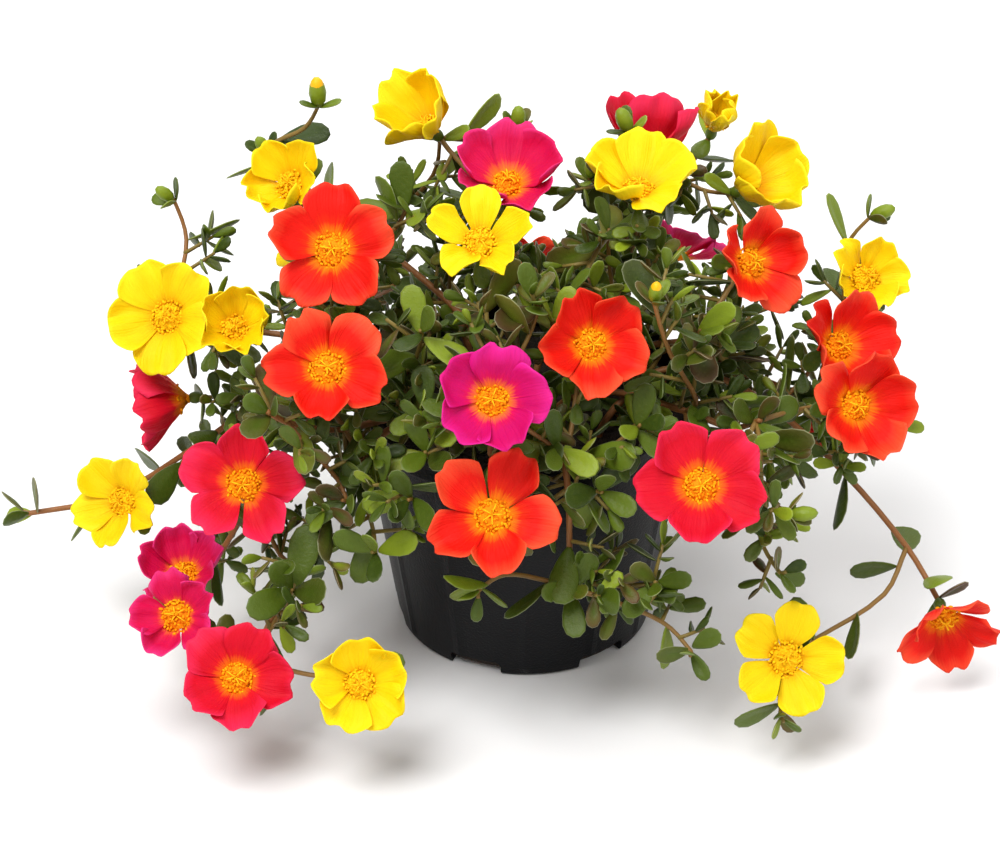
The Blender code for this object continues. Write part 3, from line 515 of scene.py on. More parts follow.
def ends():
    """Every stem's end: where it is, the way it points, what it carries and how large."""
    found = []
    for bloom in BLOOMS:
        aim = facing(bloom.turn, bloom.lift)
        base = bloom_base(bloom) - aim * (0.001 + STEM_GAP)
        found.append(End(base, aim, "bloom", 1.0, bloom.name))
    for tip in TIPS:
        point = place(tip.across, tip.down, tip.depth)
        found.append(End(point, facing(tip.turn, tip.lift), tip.kind, tip.size, None))
    for k in range(DOME_TIPS):
        height = 1 - (1 - DOME_LOWEST) * (k + 0.5) / DOME_TIPS
        ring = math.sqrt(max(0.0, 1 - height * height))
        turn = k * GOLDEN_ANGLE
        unit = Vector((ring * math.cos(turn), ring * math.sin(turn), height))
        point = DOME_CENTRE + Vector([unit[i] * DOME_RADII[i] for i in range(3)])
        found.append(End(point, (unit + Vector((0, 0, 0.5))).normalized(), "rosette", 1.0, None))
    return found


def grow_stems(taken):
    """Main stems to the ends that are farthest apart, then a twig to each other end from the nearest stem."""
    remaining = ends()
    mains = []
    chosen = []
    while len(chosen) < STEM_COUNT:
        def spare(end):
            apart = min([(end.point - other.point).length for other in chosen], default=1.0)
            return apart + 0.6 * math.hypot(end.point.x, end.point.y)
        best = max(remaining, key=spare)
        remaining.remove(best)
        chosen.append(best)
    chosen.sort(key=lambda end: math.hypot(end.point.x, end.point.y))
    inner, outer = chosen[: FOOT_RINGS[0][0]], chosen[FOOT_RINGS[0][0] :]
    for ring in (inner, outer):
        ring.sort(key=lambda end: math.atan2(end.point.y, end.point.x) % (2 * math.pi))
    for number, end in enumerate(inner + outer):
        node = f"stem_{len(mains) + 1:02d}"
        points = first_clear(node, foot_of(number), end, taken)
        if points is None:
            remaining.append(end)
            continue
        axis = Axis(points, STEM_RADIUS, end.kind, end.aim, end.size)
        add_tube(axis, node, taken)
        mains.append((node, [axis]))
    for end in sorted(remaining, key=lambda e: e.kind != "bloom"):
        grow_twig(end, mains, taken)
    return mains


def first_clear(node, foot, end, taken):
    """The first of a main stem's routes that clears everything, rooted in the soil, or None."""
    for raise_by in RAISES:
        for swing in SWINGS:
            for handle in HANDLES:
                points = route(foot, end, raise_by, math.radians(swing), handle)
                if route_is_clear(points, STEM_RADIUS, node, end.carries, taken):
                    return [foot - Vector((0, 0, ROOT_DEPTH))] + points
    return None


def add_tube(axis, node, taken):
    tube = tube_bmesh(axis.points, axis.radius)
    taken.add(node, tube)
    tube.free()


def grow_twig(end, mains, taken):
    """A side branch from the nearest fork that lets it through."""
    forks = []
    for node, axes in mains:
        for order, axis in enumerate(axes):
            points = axis.points
            for k in range(2 if order == 0 else 1, len(points) - 1):
                reach = (end.point - points[k]).length
                forks.append((abs(reach - 0.03) + 0.006 * len(axes) + 0.01 * order, node, axes, points, k))
    forks.sort(key=lambda fork: fork[0])
    for _, node, axes, points, k in forks[:FORKS_TRIED]:
        root = points[k]
        onward = (points[k + 1] - root).normalized()
        tip = end.point - end.aim * STRAIGHT_TIP
        span = (tip - root).length
        for bow in (0.0, 0.25, -0.2, 0.5):
            leave = root + (onward * (0.5 + bow) + Vector((0, 0, bow))) * span * 0.5
            knots = 3 if span < 0.03 else 4
            line = interpolate_bezier(root, leave, tip - end.aim * min(0.02, 0.4 * span), tip, knots)
            line.append(end.point)
            if route_is_clear(line, TWIG_RADIUS, node, end.carries, taken):
                axes.append(Axis(line, TWIG_RADIUS, end.kind, end.aim, end.size))
                add_tube(axes[-1], node, taken)
                return


# Leaves along the stems

LEAF_STEP = 0.0235
TIP_BARE = 0.006
FIRST_LEAF = 0.018


def along_axis(points, distance):
    """The point and direction at that distance along a line of points, or None past its end."""
    for a, b in zip(points, points[1:]):
        span = (b - a).length
        if distance <= span:
            return a.lerp(b, distance / span), (b - a).normalized()
        distance -= span
    return None


def leaf_wishes(axis, first, draw):
    """Each leaf that a stem would carry: root, axis direction, angle around, spread, size."""
    wishes = []
    length = sum((b - a).length for a, b in zip(axis.points, axis.points[1:]))
    around = draw.uniform(0, 2 * math.pi)
    distance = first
    while distance < length - TIP_BARE:
        root, direction = along_axis(axis.points, distance)
        around += GOLDEN_ANGLE + draw.uniform(-0.3, 0.3)
        wishes.append((root, direction, around, math.radians(draw.uniform(50, 68)), draw.uniform(0.95, 1.25)))
        distance += LEAF_STEP * draw.uniform(0.85, 1.2)
    tip = axis.points[-1]
    if axis.kind == "rosette":
        for k in range(4):
            around += GOLDEN_ANGLE
            root = tip - axis.aim * (0.0055 - 0.0014 * k)
            wishes.append((root, axis.aim, around, math.radians(76 - 14 * k), axis.size * (1.02 - 0.09 * k)))
    elif axis.kind == "bloom":
        for k in range(2):
            around += 2.6
            wishes.append((tip - axis.aim * 0.004, axis.aim, around, math.radians(82), 0.78))
    else:
        for k in range(3):
            around += 2.2
            wishes.append((tip - axis.aim * 0.004, axis.aim, around, math.radians(40 + 12 * k), 0.55))
    return wishes


def clear_leaf(wish, node, taken, draw):
    """The leaf as close to its wish as bends clear of the other nodes, or None."""
    root, direction, around, spread, size = wish
    length = LEAF_LENGTH * size
    width = length * draw.uniform(0.50, 0.60)
    bend, cup = draw.uniform(-0.10, 0.16), draw.uniform(0.05, 0.14)
    roll = draw.uniform(-0.3, 0.3)
    for turn in (0, 0.35, -0.35, 0.7, -0.7, 1.1, -1.1, 1.6, -1.6):
        for tilt in (0, -0.3, 0.3):
            matrix = leaf_matrix(root, direction, around + turn, spread + tilt, roll)
            wide = leaf_blank(length, width, bend, cup, grow=2 * CLEARANCE)
            wide.transform(matrix)
            beyond = [v.co for v in wide.verts if (v.co - root).length > 0.25 * length]
            clear = not any(in_pot_or_ground(co, 0.0) or before_bloom(co) for co in beyond)
            clear = clear and not taken.crosses(wide, node)
            wide.free()
            if clear:
                bm = leaf_blank(length, width, bend, cup)
                bm.transform(matrix)
                return bm, (matrix, length, width, bend, cup)
    return None, None


def bud_blank(axis):
    bm = bmesh.new()
    bmesh.ops.create_uvsphere(bm, u_segments=6, v_segments=3, radius=1)
    size = 0.0026 * axis.size
    shape_mesh(bm, lambda co: Vector((co.x * size, co.y * size, (co.z + 0.7) * size * 2.0)))
    bm.transform(Matrix.Translation(axis.points[-1]) @ frame_along(axis.aim).to_4x4())
    return bm


def dress_stems(mains, taken):
    """The leaves and buds of every stem, each clear of the other nodes, and the leaves' places and sizes."""
    pieces = {node: [] for node, _ in mains}
    shapes = {node: [] for node, _ in mains}
    for node, axes in mains:
        for axis in axes:
            if axis.kind == "bud":
                bud = bud_blank(axis)
                if not taken.crosses(bud, node):
                    taken.add(node, bud)
                    pieces[node].append(bud)
    for number, (node, axes) in enumerate(mains):
        draw = random.Random(SEED * 77 + number)
        for order, axis in enumerate(axes):
            for wish in leaf_wishes(axis, ROOT_DEPTH + FIRST_LEAF if order == 0 else 0.008, draw):
                bm, shape = clear_leaf(wish, node, taken, draw)
                if bm is not None:
                    taken.add(node, bm)
                    pieces[node].append(bm)
                    shapes[node].append(shape)
    return pieces, shapes


# Finer forms

PETAL_GRID = (14, 20)
PETAL_SKIN = 0.0003
BILLOW = 0.0022
RUFFLE = 0.0009
RUFFLE_TURN = 6.5
EDGE_WAVE = 0.018
EDGE_TURN = 8.0
SOFT_NOTCH = 0.30
FURROW = 0.0022
FURROW_WIDTH = 0.16
CURL = 0.0042
CURL_FROM = 0.66
FOLD = 0.0020
STYLES = 5
STYLE_RADIUS = 0.00022
FILAMENT = 0.00013
FILAMENT_FOOT = 0.0006
ANTHER = 0.00050
HEART_UP = 0.46
HEART_SHARE = 0.80
LEAF_FINE = (14, 8)
LEAF_PLAIN = (12, 6)
LEAF_FURROW = 0.00035
STEM_SIDES = 8
SHOOT_SIDES = 5
SHOOT_RADII = (0.0008, 0.0007, 0.0006)
SHOOT_LEAVES = 6
SHOOT_TRIES = 3
FULL_TURN = 6.28
# How far below and above a bloom's middle shoots keep away, and the share of its width
WIDE_VIEW = (-0.006, 0.05, 0.5)
COLOURED_BUDS = ((318, 98), (655, 296))
BUD_NEAR = 12
BUD_SIZE = 0.0026
CALYX = 0.0022
# Redness past these marks a rod of stem, and a bud's coloured tip
STEM_MARK = 2.0
BUD_MARK = 4.0


def add_to(target, bm, tint=None):
    """Copies bm's shape into target, with each vertex's tint in target's tint layer."""
    layer = target.verts.layers.float_color["tint"]
    own = bm.verts.layers.float_color.get("tint")
    twin = {}
    for vert in bm.verts:
        copy = target.verts.new(vert.co)
        copy[layer] = vert[own] if own is not None else tint
        twin[vert] = copy
    for face in bm.faces:
        made = target.faces.new([twin[v] for v in face.verts])
        made.smooth = True
    bm.free()


def tinted_bmesh():
    bm = bmesh.new()
    bm.verts.layers.float_color.new("tint")
    return bm


def finish_piece(name, bm, material, nodes):
    if bm.calc_volume(signed=True) < 0:
        bmesh.ops.reverse_faces(bm, faces=bm.faces)
    mesh = bpy.data.meshes.new(name)
    bm.to_mesh(mesh)
    bm.free()
    obj = bpy.data.objects.new(name, mesh)
    bpy.context.scene.collection.objects.link(obj)
    mesh.materials.append(material)
    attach(obj, "root")
    if nodes:
        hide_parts(*nodes)
    return obj


def softened(along, across, notch):
    """How far out a point of a petal lies once its tip is rounder than the plain petal's."""
    plain = 1 - PETAL_NOTCH * math.exp(-((across / 0.19) ** 2)) - PETAL_ROUNDING * abs(across) ** 2.7
    soft = 1 - notch * math.exp(-((across / SOFT_NOTCH) ** 2)) - PETAL_ROUNDING * abs(across) ** 2.7
    return along * soft / plain


def fine_petal(bloom, whole, lap, wave, tone, draw):
    """A thin, closed petal. Its tint holds along, across, tone and a random number."""
    bm = tinted_bmesh()
    layer = bm.verts.layers.float_color["tint"]
    bmesh.ops.create_grid(bm, x_segments=PETAL_GRID[0], y_segments=PETAL_GRID[1], size=1)
    seed = draw.uniform(0, 100)
    curl = draw.uniform(-2.0, 4.0)
    fold = draw.uniform(-0.6, 1.6)
    notch = draw.uniform(0.03, 0.11)
    for vert in bm.verts:
        along, across = ((1 + vert.co.x) / 2) ** 0.8, math.sin(vert.co.y * math.pi / 2)
        edge_wave = EDGE_WAVE * along**4 * math.sin(EDGE_TURN * across + seed)
        point, rise = petal_point(bloom, softened(along, across, notch) + edge_wave, across, lap, wave)
        frill = noise.noise(Vector((across * 2.2 + seed, along * 1.6, seed))) * BILLOW * along
        frill += RUFFLE * along**3 * math.sin(RUFFLE_TURN * across + seed)
        frill -= FURROW * math.exp(-((across / FURROW_WIDTH) ** 2)) * along * (1.1 - along)
        frill += curl * CURL * max(0.0, along - CURL_FROM) ** 1.5
        frill += fold * FOLD * across * across * along * along
        vert.co = point + Vector((-math.sin(rise), 0, math.cos(rise))) * frill
        vert[layer] = (along, (across + 1) / 2, tone, draw.random())
    bmesh.ops.recalc_face_normals(bm, faces=bm.faces)
    bmesh.ops.solidify(bm, geom=bm.faces[:], thickness=PETAL_SKIN)
    bm.transform(whole)
    return bm


def rod(bm_target, points, radii, sides, tint):
    """A closed rod through the points, from rings bridged into a skin."""
    bm = bmesh.new()
    rings = []
    for k, (point, radius) in enumerate(zip(points, radii)):
        ahead = points[min(k + 1, len(points) - 1)] - points[max(k - 1, 0)]
        made = bmesh.ops.create_circle(bm, cap_ends=k in (0, len(points) - 1), segments=sides, radius=radius)
        turn = Matrix.Translation(point) @ ahead.to_track_quat("Z", "Y").to_matrix().to_4x4()
        bmesh.ops.transform(bm, matrix=turn, verts=made["verts"])
        rings.append(made["verts"])
    for a, b in zip(rings, rings[1:]):
        for i in range(sides):
            j = (i + 1) % sides
            bm.faces.new((a[i], a[j], b[j], b[i]))
    bm.normal_update()
    bmesh.ops.recalc_face_normals(bm, faces=bm.faces)
    add_to(bm_target, bm, tint)


def blob(bm_target, centre, size, tint, detail=1, stretch=1.0, along=None):
    bm = bmesh.new()
    bmesh.ops.create_icosphere(bm, subdivisions=detail, radius=size)
    bmesh.ops.scale(bm, vec=(1, 1, stretch), verts=bm.verts)
    turn = along.to_track_quat("Z", "Y").to_matrix().to_4x4() if along else Matrix.Identity(4)
    bm.transform(Matrix.Translation(centre) @ turn)
    add_to(bm_target, bm, tint)


def fine_bloom(bloom, number, stamens):
    """Petals, stamens and style of one bloom, in the places that the plain bloom gives them."""
    draw = random.Random(SEED * 1000 + number)
    spin = draw.uniform(0, 2 * math.pi)
    whole = bloom_matrix(bloom, spin)
    petals = tinted_bmesh()
    for k in range(PETALS):
        turned = Matrix.Rotation(2 * math.pi * k / PETALS + draw.uniform(-0.07, 0.07), 4, "Z")
        tipped = Matrix.Rotation(draw.uniform(-0.12, 0.10), 4, "Y")
        wave = draw.uniform(0.4, 1.4)
        extra = random.Random(number * 10 + k)
        add_to(petals, fine_petal(bloom, whole @ turned @ tipped, 1.0, wave, extra.random(), extra))
    brush = tinted_bmesh()
    flare = TUFT_RADIUS * (1 - 0.42 * min(1.0, bloom.cup))
    extra = random.Random(number + 500)
    golden = float(bloom.colour == "yellow")
    upward = whole.to_3x3() @ Vector((0, 0, 1))
    blob(brush, whole @ Vector((0, 0, FILAMENT_FOOT)), RECEPTACLE, (0.1, 0.5, 0, golden))
    heart = whole @ Vector((0, 0, TUFT_HEIGHT * HEART_UP))
    blob(brush, heart, flare * HEART_SHARE, (0.1, 0.5, 0, golden), 3, 0.42, upward)
    for k in range(stamens):
        share = math.sqrt((k + 0.5) / stamens)
        turn = k * GOLDEN_ANGLE
        top = TUFT_HEIGHT * extra.uniform(0.70, 1.05) * (1.05 - 0.45 * share)
        out = flare * share * extra.uniform(0.92, 1.14)
        side = Vector((math.cos(turn), math.sin(turn), 0))
        foot = side * RECEPTACLE * 0.6 * share + Vector((0, 0, FILAMENT_FOOT))
        bend = side * out * 0.35 + Vector((0, 0, top * 0.6))
        tip = side * out + Vector((0, 0, top))
        points = [whole @ foot, whole @ bend, whole @ tip]
        tint = extra.random()
        rod(brush, points, (FILAMENT, FILAMENT, FILAMENT * 0.7), 3, (0.5, tint, 0, golden))
        lean = whole.to_3x3() @ Vector((extra.uniform(-1, 1), extra.uniform(-1, 1), 0.3))
        size = ANTHER * extra.uniform(0.8, 1.15)
        blob(brush, whole @ tip, size, (1.0, tint, 0, golden), stretch=1.7, along=lean)
    for k in range(STYLES):
        turn = 2 * math.pi * k / STYLES + extra.uniform(-0.4, 0.4)
        side = Vector((math.cos(turn), math.sin(turn), 0))
        reach = TUFT_HEIGHT * extra.uniform(0.45, 0.70)
        points = [Vector((0, 0, TUFT_HEIGHT * 0.8))]
        points.append(side * reach * 0.3 + Vector((0, 0, TUFT_HEIGHT * 1.15)))
        points.append(side * reach * 0.75 + Vector((0, 0, TUFT_HEIGHT * 1.20)))
        points.append(side * reach * 1.05 + Vector((0, 0, TUFT_HEIGHT * 1.02)))
        points.append(side * reach * 1.0 + Vector((0, 0, TUFT_HEIGHT * 0.88)))
        line = smooth_line(points, 2)
        line = [whole @ p for p in line]
        rod(brush, line, [STYLE_RADIUS] * len(line), 5, (0.8, 0.9, 1, golden))
    return petals, brush


def smooth_line(points, steps):
    """A smooth line through the points, with that many steps from one to the next."""
    line = [points[0]]
    for k in range(len(points) - 1):
        a, b = points[k], points[k + 1]
        before = points[k - 1] if k else a
        after = points[k + 2] if k + 2 < len(points) else b
        span = (b - a).length
        enter = (b - before).normalized() * span / 3
        leave = (after - a).normalized() * span / 3
        line += interpolate_bezier(a, a + enter, b - leave, b, steps + 1)[1:]
    return line


# Leaves


def fine_leaf(shape, tone, redness, plain=False):
    """A fleshy leaf. Its tint holds rim, along, tone and redness."""
    matrix, length, width, bend, cup = shape
    across_steps, thick_steps = LEAF_PLAIN if plain else LEAF_FINE
    bm = tinted_bmesh()
    layer = bm.verts.layers.float_color["tint"]
    bmesh.ops.create_uvsphere(bm, u_segments=across_steps, v_segments=thick_steps, radius=1)
    for vert in bm.verts:
        co = vert.co.copy()
        edge = math.hypot(co.x, co.y)
        flat = math.copysign(min(1.0, abs(co.z)) ** 0.8, co.z)
        point = leaf_point(Vector((co.x, co.y, flat)), length, width, LEAF_THICK, bend, cup)
        point.z -= LEAF_FURROW * math.exp(-((co.y / 0.12) ** 2)) * (1 - co.x * co.x)
        vert[layer] = (edge, (1 + co.x) / 2, tone, redness)
        vert.co = point
    bm.transform(matrix)
    return bm


def side_shoots(node, axes, taken, draw, step):
    """Short shoots that fill out a stem, each a root, a tip and its direction."""
    found = []
    for order, axis in enumerate(axes):
        points = axis.points
        length = sum((b - a).length for a, b in zip(points, points[1:]))
        distance = ROOT_DEPTH + 0.012 if order == 0 else 0.008
        around = draw.uniform(0, FULL_TURN)
        while distance < length - 0.004:
            root, direction = along_axis(points, distance)
            distance += step * draw.uniform(0.7, 1.3)
            around += GOLDEN_ANGLE
            for attempt in range(SHOOT_TRIES):
                turn = around + attempt * 2.1
                across = frame_along(direction) @ Vector((math.cos(turn), math.sin(turn), 0))
                aim = (across + direction * 0.5 + Vector((0, 0, 0.45))).normalized()
                tip = root + aim * draw.uniform(0.008, 0.016)
                if in_pot_or_ground(tip, 0.005) or before_bloom(tip, *WIDE_VIEW) or beyond_plant(tip):
                    continue
                if taken.near(tip, 0.003, node):
                    continue
                found.append((root, tip, aim))
                break
    return found


def beyond_plant(point):
    """Whether a point lies outside the areas that leaves fill, as seen from the show side."""
    sheet = sheet_place(point)
    return not any(low[0] < sheet[0] < high[0] and low[1] < sheet[1] < high[1] for low, high in LEAFY_AREAS)


LEAFY_AREAS = (
    ((210, 230), (830, 470)),
    ((400, 160), (760, 260)),
    ((190, 400), (430, 600)),
    ((590, 400), (800, 570)),
    ((410, 450), (600, 510)),
    ((590, 540), (720, 640)),
    ((230, 540), (400, 630)),
    ((800, 300), (890, 480)),
    ((690, 520), (790, 590)),
)


def sheet_place(point):
    ahead = Vector((0, math.cos(LOOK_DOWN), -math.sin(LOOK_DOWN)))
    up = Vector((0, math.sin(LOOK_DOWN), math.cos(LOOK_DOWN)))
    offset = point - EYE
    depth = offset.dot(ahead)
    return (
        SHEET_CENTRE[0] + SHEET_STEPS * offset.x / depth,
        SHEET_CENTRE[1] - SHEET_STEPS * offset.dot(up) / depth,
    )


def dress_stem(node, axes, shapes, taken, draw, step):
    """One leafy stem: its rods, buds and leaves, and side shoots a step apart unless step is 0."""
    bm = tinted_bmesh()
    for order, axis in enumerate(axes):
        line = smooth_line(axis.points, 4)
        count = len(line)
        radii = [axis.radius * (1 - 0.35 * k / (count - 1)) for k in range(count)]
        redness = 0.9 if order == 0 else draw.uniform(0.2, 0.8)
        rod(bm, line, radii, STEM_SIDES, (0.2, 0.5, draw.random(), STEM_MARK + redness))
        if axis.kind == "bloom":
            base = axis.points[-1]
            blob(bm, base - axis.aim * 0.0012, CALYX, (0.3, 0.5, 0.5, 0.1), 2, 1.3, axis.aim)
        elif axis.kind == "bud":
            size = BUD_SIZE * axis.size
            end = axis.points[-1]
            blob(bm, end + axis.aim * size * 0.7, size, (0.3, 0.7, 0.9, 0.05), 2, 1.9, axis.aim)
            seen = Vector(sheet_place(end))
            if any((seen - Vector(spot)).length < BUD_NEAR for spot in COLOURED_BUDS):
                tip = end + axis.aim * size * 1.5
                blob(bm, tip, size * 0.8, (0.3, 0.7, 0.9, BUD_MARK), 2, 1.6, axis.aim)
    for shape in shapes:
        add_to(bm, fine_leaf(shape, draw.random(), draw.random()))
    shoots = side_shoots(node, axes, taken, draw, step) if step > 0 else []
    for root, tip, aim in shoots:
        tint = (0.2, 0.5, draw.random(), STEM_MARK + 0.2)
        rod(bm, [root, root.lerp(tip, 0.5), tip], SHOOT_RADII, SHOOT_SIDES, tint)
        around = draw.uniform(0, FULL_TURN)
        for k in range(SHOOT_LEAVES):
            around += GOLDEN_ANGLE
            size = draw.uniform(0.55, 0.85) * (1.0 - 0.06 * k)
            spread = math.radians(86 - 12 * k)
            start = tip - aim * (0.006 - 0.0012 * k)
            length = LEAF_LENGTH * size
            shape = (leaf_matrix(start, aim, around, spread, draw.uniform(-0.3, 0.3)), length)
            shape += (length * draw.uniform(0.42, 0.54), draw.uniform(-0.1, 0.16), draw.uniform(0.05, 0.14))
            end = shape[0] @ Vector((length, 0, 0))
            if in_pot_or_ground(end, 0.001) or before_bloom(end, *WIDE_VIEW):
                continue
            if taken.near(end, 0.0012, None) or taken.near(start.lerp(end, 0.6), 0.0012, None):
                continue
            add_to(bm, fine_leaf(shape, draw.random(), draw.random(), True))
    return bm


# Materials


class Maths:
    """A socket whose operators add Math nodes."""

    def __init__(self, tree, socket):
        self.tree = tree
        self.socket = socket

    def calculated(self, operation, other, swap=False):
        node = self.tree.nodes.new("ShaderNodeMath")
        node.operation = operation
        terms = [self, other]
        if swap:
            terms.reverse()
        for term, slot_in in zip(terms, node.inputs):
            if isinstance(term, Maths):
                self.tree.links.new(term.socket, slot_in)
            elif term is not None:
                slot_in.default_value = term
        return Maths(self.tree, node.outputs[0])

    def __add__(self, other):
        return self.calculated("ADD", other)

    __radd__ = __add__

    def __mul__(self, other):
        return self.calculated("MULTIPLY", other)

    __rmul__ = __mul__

    def __sub__(self, other):
        return self.calculated("SUBTRACT", other)

    def __rsub__(self, other):
        return self.calculated("SUBTRACT", other, swap=True)

    def __pow__(self, other):
        return self.calculated("POWER", other)

    def __gt__(self, other):
        return self.calculated("GREATER_THAN", other)

    def clamped(self):
        node = self.tree.nodes.new("ShaderNodeClamp")
        self.tree.links.new(self.socket, node.inputs[0])
        return Maths(self.tree, node.outputs[0])


class Finish:
    """A material in the making: its Principled shader and a few ways to feed it."""

    def __init__(self, name, roughness, **constants):
        self.material = bpy.data.materials.new(name)
        self.material.use_nodes = True
        self.tree = self.material.node_tree
        self.shader = self.tree.nodes["Principled BSDF"]
        self.shader.inputs["Roughness"].default_value = roughness
        for key, value in constants.items():
            self.shader.inputs[key.replace("_", " ")].default_value = value

    def node(self, kind, settings=None, **inputs):
        made = self.tree.nodes.new(kind)
        for key, value in (settings or {}).items():
            setattr(made, key, value)
        for key, value in inputs.items():
            socket = made.inputs[key.replace("_", " ")]
            if isinstance(value, Maths):
                self.tree.links.new(value.socket, socket)
            elif isinstance(value, bpy.types.NodeSocket):
                self.tree.links.new(value, socket)
            else:
                socket.default_value = value
        return made

    def tint(self):
        """The four numbers of the piece's tint, as maths."""
        attribute = self.node("ShaderNodeAttribute", {"attribute_name": "tint"})
        split = self.node("ShaderNodeSeparateColor", None, Color=attribute.outputs["Color"])
        return [Maths(self.tree, split.outputs[k]) for k in range(3)] + [
            Maths(self.tree, attribute.outputs["Alpha"])
        ]

    def places(self):
        return self.node("ShaderNodeTexCoord").outputs["Object"]

    def noise(self, scale, detail=2.0, vector=None):
        vector = vector or self.places()
        made = self.node("ShaderNodeTexNoise", None, Scale=scale, Detail=detail, Vector=vector)
        return Maths(self.tree, made.outputs["Fac"])

    def mixed(self, share, first, second):
        """Colour mix: first where share is 0, second where it is 1."""
        made = self.node("ShaderNodeMix", {"data_type": "RGBA"})
        made.clamp_factor = True
        self.tree.links.new(share.socket, made.inputs[0])
        for value, slot_in in ((first, made.inputs[6]), (second, made.inputs[7])):
            if isinstance(value, bpy.types.NodeSocket):
                self.tree.links.new(value, slot_in)
            else:
                slot_in.default_value = (*value, 1)
        return made.outputs[2]

    def colour(self, socket):
        self.tree.links.new(socket, self.shader.inputs["Base Color"])

    def bump(self, height, distance):
        made = self.node("ShaderNodeBump", None, Height=height, Distance=distance)
        self.tree.links.new(made.outputs[0], self.shader.inputs["Normal"])


# Each kind's colours: the body, its lighter edge (a painted highlight), the warm zone within and the eye
PETAL_COLOURS = {
    "yellow": ((0.88, 0.60, 0.0), (0.94, 0.74, 0.01), (0.90, 0.54, 0.0), (0.84, 0.40, 0.0)),
    "orange": ((0.70, 0.006, 0.001), (0.88, 0.09, 0.03), (0.86, 0.05, 0.001), (0.94, 0.30, 0.002)),
    "red": ((0.60, 0.001, 0.016), (0.80, 0.022, 0.085), (0.82, 0.016, 0.006), (0.92, 0.24, 0.002)),
    "pink": ((0.60, 0.002, 0.065), (0.78, 0.035, 0.22), (0.80, 0.02, 0.03), (0.93, 0.28, 0.004)),
    "magenta": ((0.56, 0.001, 0.12), (0.72, 0.014, 0.27), (0.80, 0.006, 0.025), (0.93, 0.28, 0.003)),
}


def petal_finish(colour, body_colour):
    """Silky petals: a deep body, fine streaks from base to edge, a lighter edge painted as a highlight and a
    glowing eye.
    """
    _, edge, warm, eye = PETAL_COLOURS[colour]
    made = Finish(f"{colour} petal", 0.6, Specular_IOR_Level=0.18)
    made.shader.inputs["Subsurface Weight"].default_value = 0.06
    made.shader.inputs["Subsurface Scale"].default_value = 0.002
    along, across, tone, _ = made.tint()
    streak = made.node("ShaderNodeCombineXYZ", None, X=across * 30.0, Y=along * 1.4, Z=tone * 31.0)
    veins = made.noise(1.0, 4.0, streak.outputs[0])
    beside = across * 2.0 - 1.0
    # Painted highlight: the pale edge colour over the petals' outer parts stands in for the light they catch
    rim = (along - 0.74) * 3.2 + beside * beside * along * 0.5
    rim = (rim + (veins - 0.5) * 0.5 + (tone - 0.6)).clamped()
    body = made.mixed(rim * 0.85, tuple(body_colour), edge)
    inner = (1.25 - along * 2.3 + (veins - 0.5) * 0.8).clamped()
    warmed = made.mixed(inner, body, warm)
    centre = (1.85 - along * 4.6 + (veins - 0.5) * 1.1).clamped()
    made.colour(made.mixed(centre, warmed, eye))
    made.bump(veins * 0.8 + made.noise(900.0) * 0.2, 0.0005)
    return made.material


def brush_finish():
    """Orange pollen and threads, more golden where the petals are yellow."""
    made = Finish("pollen and styles", 0.75, Specular_IOR_Level=0.15)
    part, tone, style, golden = made.tint()
    pollen = made.mixed(tone, (0.86, 0.27, 0.001), (0.94, 0.44, 0.004))
    thread = made.mixed(tone, (0.86, 0.21, 0.001), (0.92, 0.34, 0.003))
    reddish = made.mixed(part > 0.9, thread, pollen)
    yellowish = made.mixed(tone, (0.84, 0.44, 0.001), (0.95, 0.62, 0.006))
    body = made.mixed(golden, reddish, yellowish)
    made.colour(made.mixed(style > 0.5, body, (0.94, 0.56, 0.01)))
    return made.material


# Painted highlight: a bright yellow-green that stands in for the light some leaves catch
PAINTED_LEAF_HIGHLIGHT = (0.25, 0.33, 0.014)
LEAF_MOTTLE = (0.13, 0.17, 0.02)
LEAF_FLUSH = (0.11, 0.026, 0.018)
LEAF_RIM = (0.50, 0.52, 0.30)
GREEN_STEM = (0.20, 0.17, 0.035)
BROWN_STEM = (0.28, 0.10, 0.030)
BUD_TIP = (0.90, 0.46, 0.003)


def leaf_finish(dark_colour, light_colour):
    """Fleshy leaves with a pale rim, a painted highlight on a random share of them and some purple-red flush,
    and green to reddish brown stems.
    """
    made = Finish("leaf and stem", 0.42, Specular_IOR_Level=0.3)
    rim, _, tone, redness = made.tint()
    spots = made.noise(700.0, 3.0)
    green = made.mixed(tone, tuple(dark_colour), tuple(light_colour))
    # A random share of the leaves gets the painted highlight colour
    highlit = made.mixed((tone - 0.76) * 4.0, green, PAINTED_LEAF_HIGHLIGHT)
    mottled = made.mixed((spots - 0.5) * 0.8, highlit, LEAF_MOTTLE)
    flush = made.mixed(((redness - 0.70) * 3.2).clamped() * rim * 0.8, mottled, LEAF_FLUSH)
    edge = ((rim - 0.96) * 30.0).clamped() * (0.12 + redness * 0.5)
    leaf = made.mixed(edge, flush, LEAF_RIM)
    stem = made.mixed((redness - STEM_MARK).clamped(), GREEN_STEM, BROWN_STEM)
    either = made.mixed(redness > STEM_MARK - 0.5, leaf, stem)
    made.colour(made.mixed(redness > BUD_MARK - 0.5, either, BUD_TIP))
    made.bump(spots * 0.5 + made.noise(2600.0) * 0.3, 0.0004)
    return made.material


def soil_finish(body_colour):
    made = Finish("potting soil", 0.95)
    grain = made.noise(420.0, 6.0)
    fleck = (made.noise(1500.0, 2.0) - 0.66) * 8.0
    body = made.mixed(grain, (0.006, 0.004, 0.003), tuple(body_colour))
    made.colour(made.mixed(fleck.clamped(), body, (0.16, 0.12, 0.08)))
    made.bump(grain, 0.003)
    return made.material


def pot_finish(body_colour):
    made = Finish("black pot plastic", 0.42, Specular_IOR_Level=0.16)
    haze = made.noise(60.0, 4.0)
    made.colour(made.mixed(haze, (0.0015, 0.0016, 0.002), tuple(body_colour)))
    made.bump(made.noise(1400.0, 2.0), 0.0002)
    return made.material


# Pot and soil

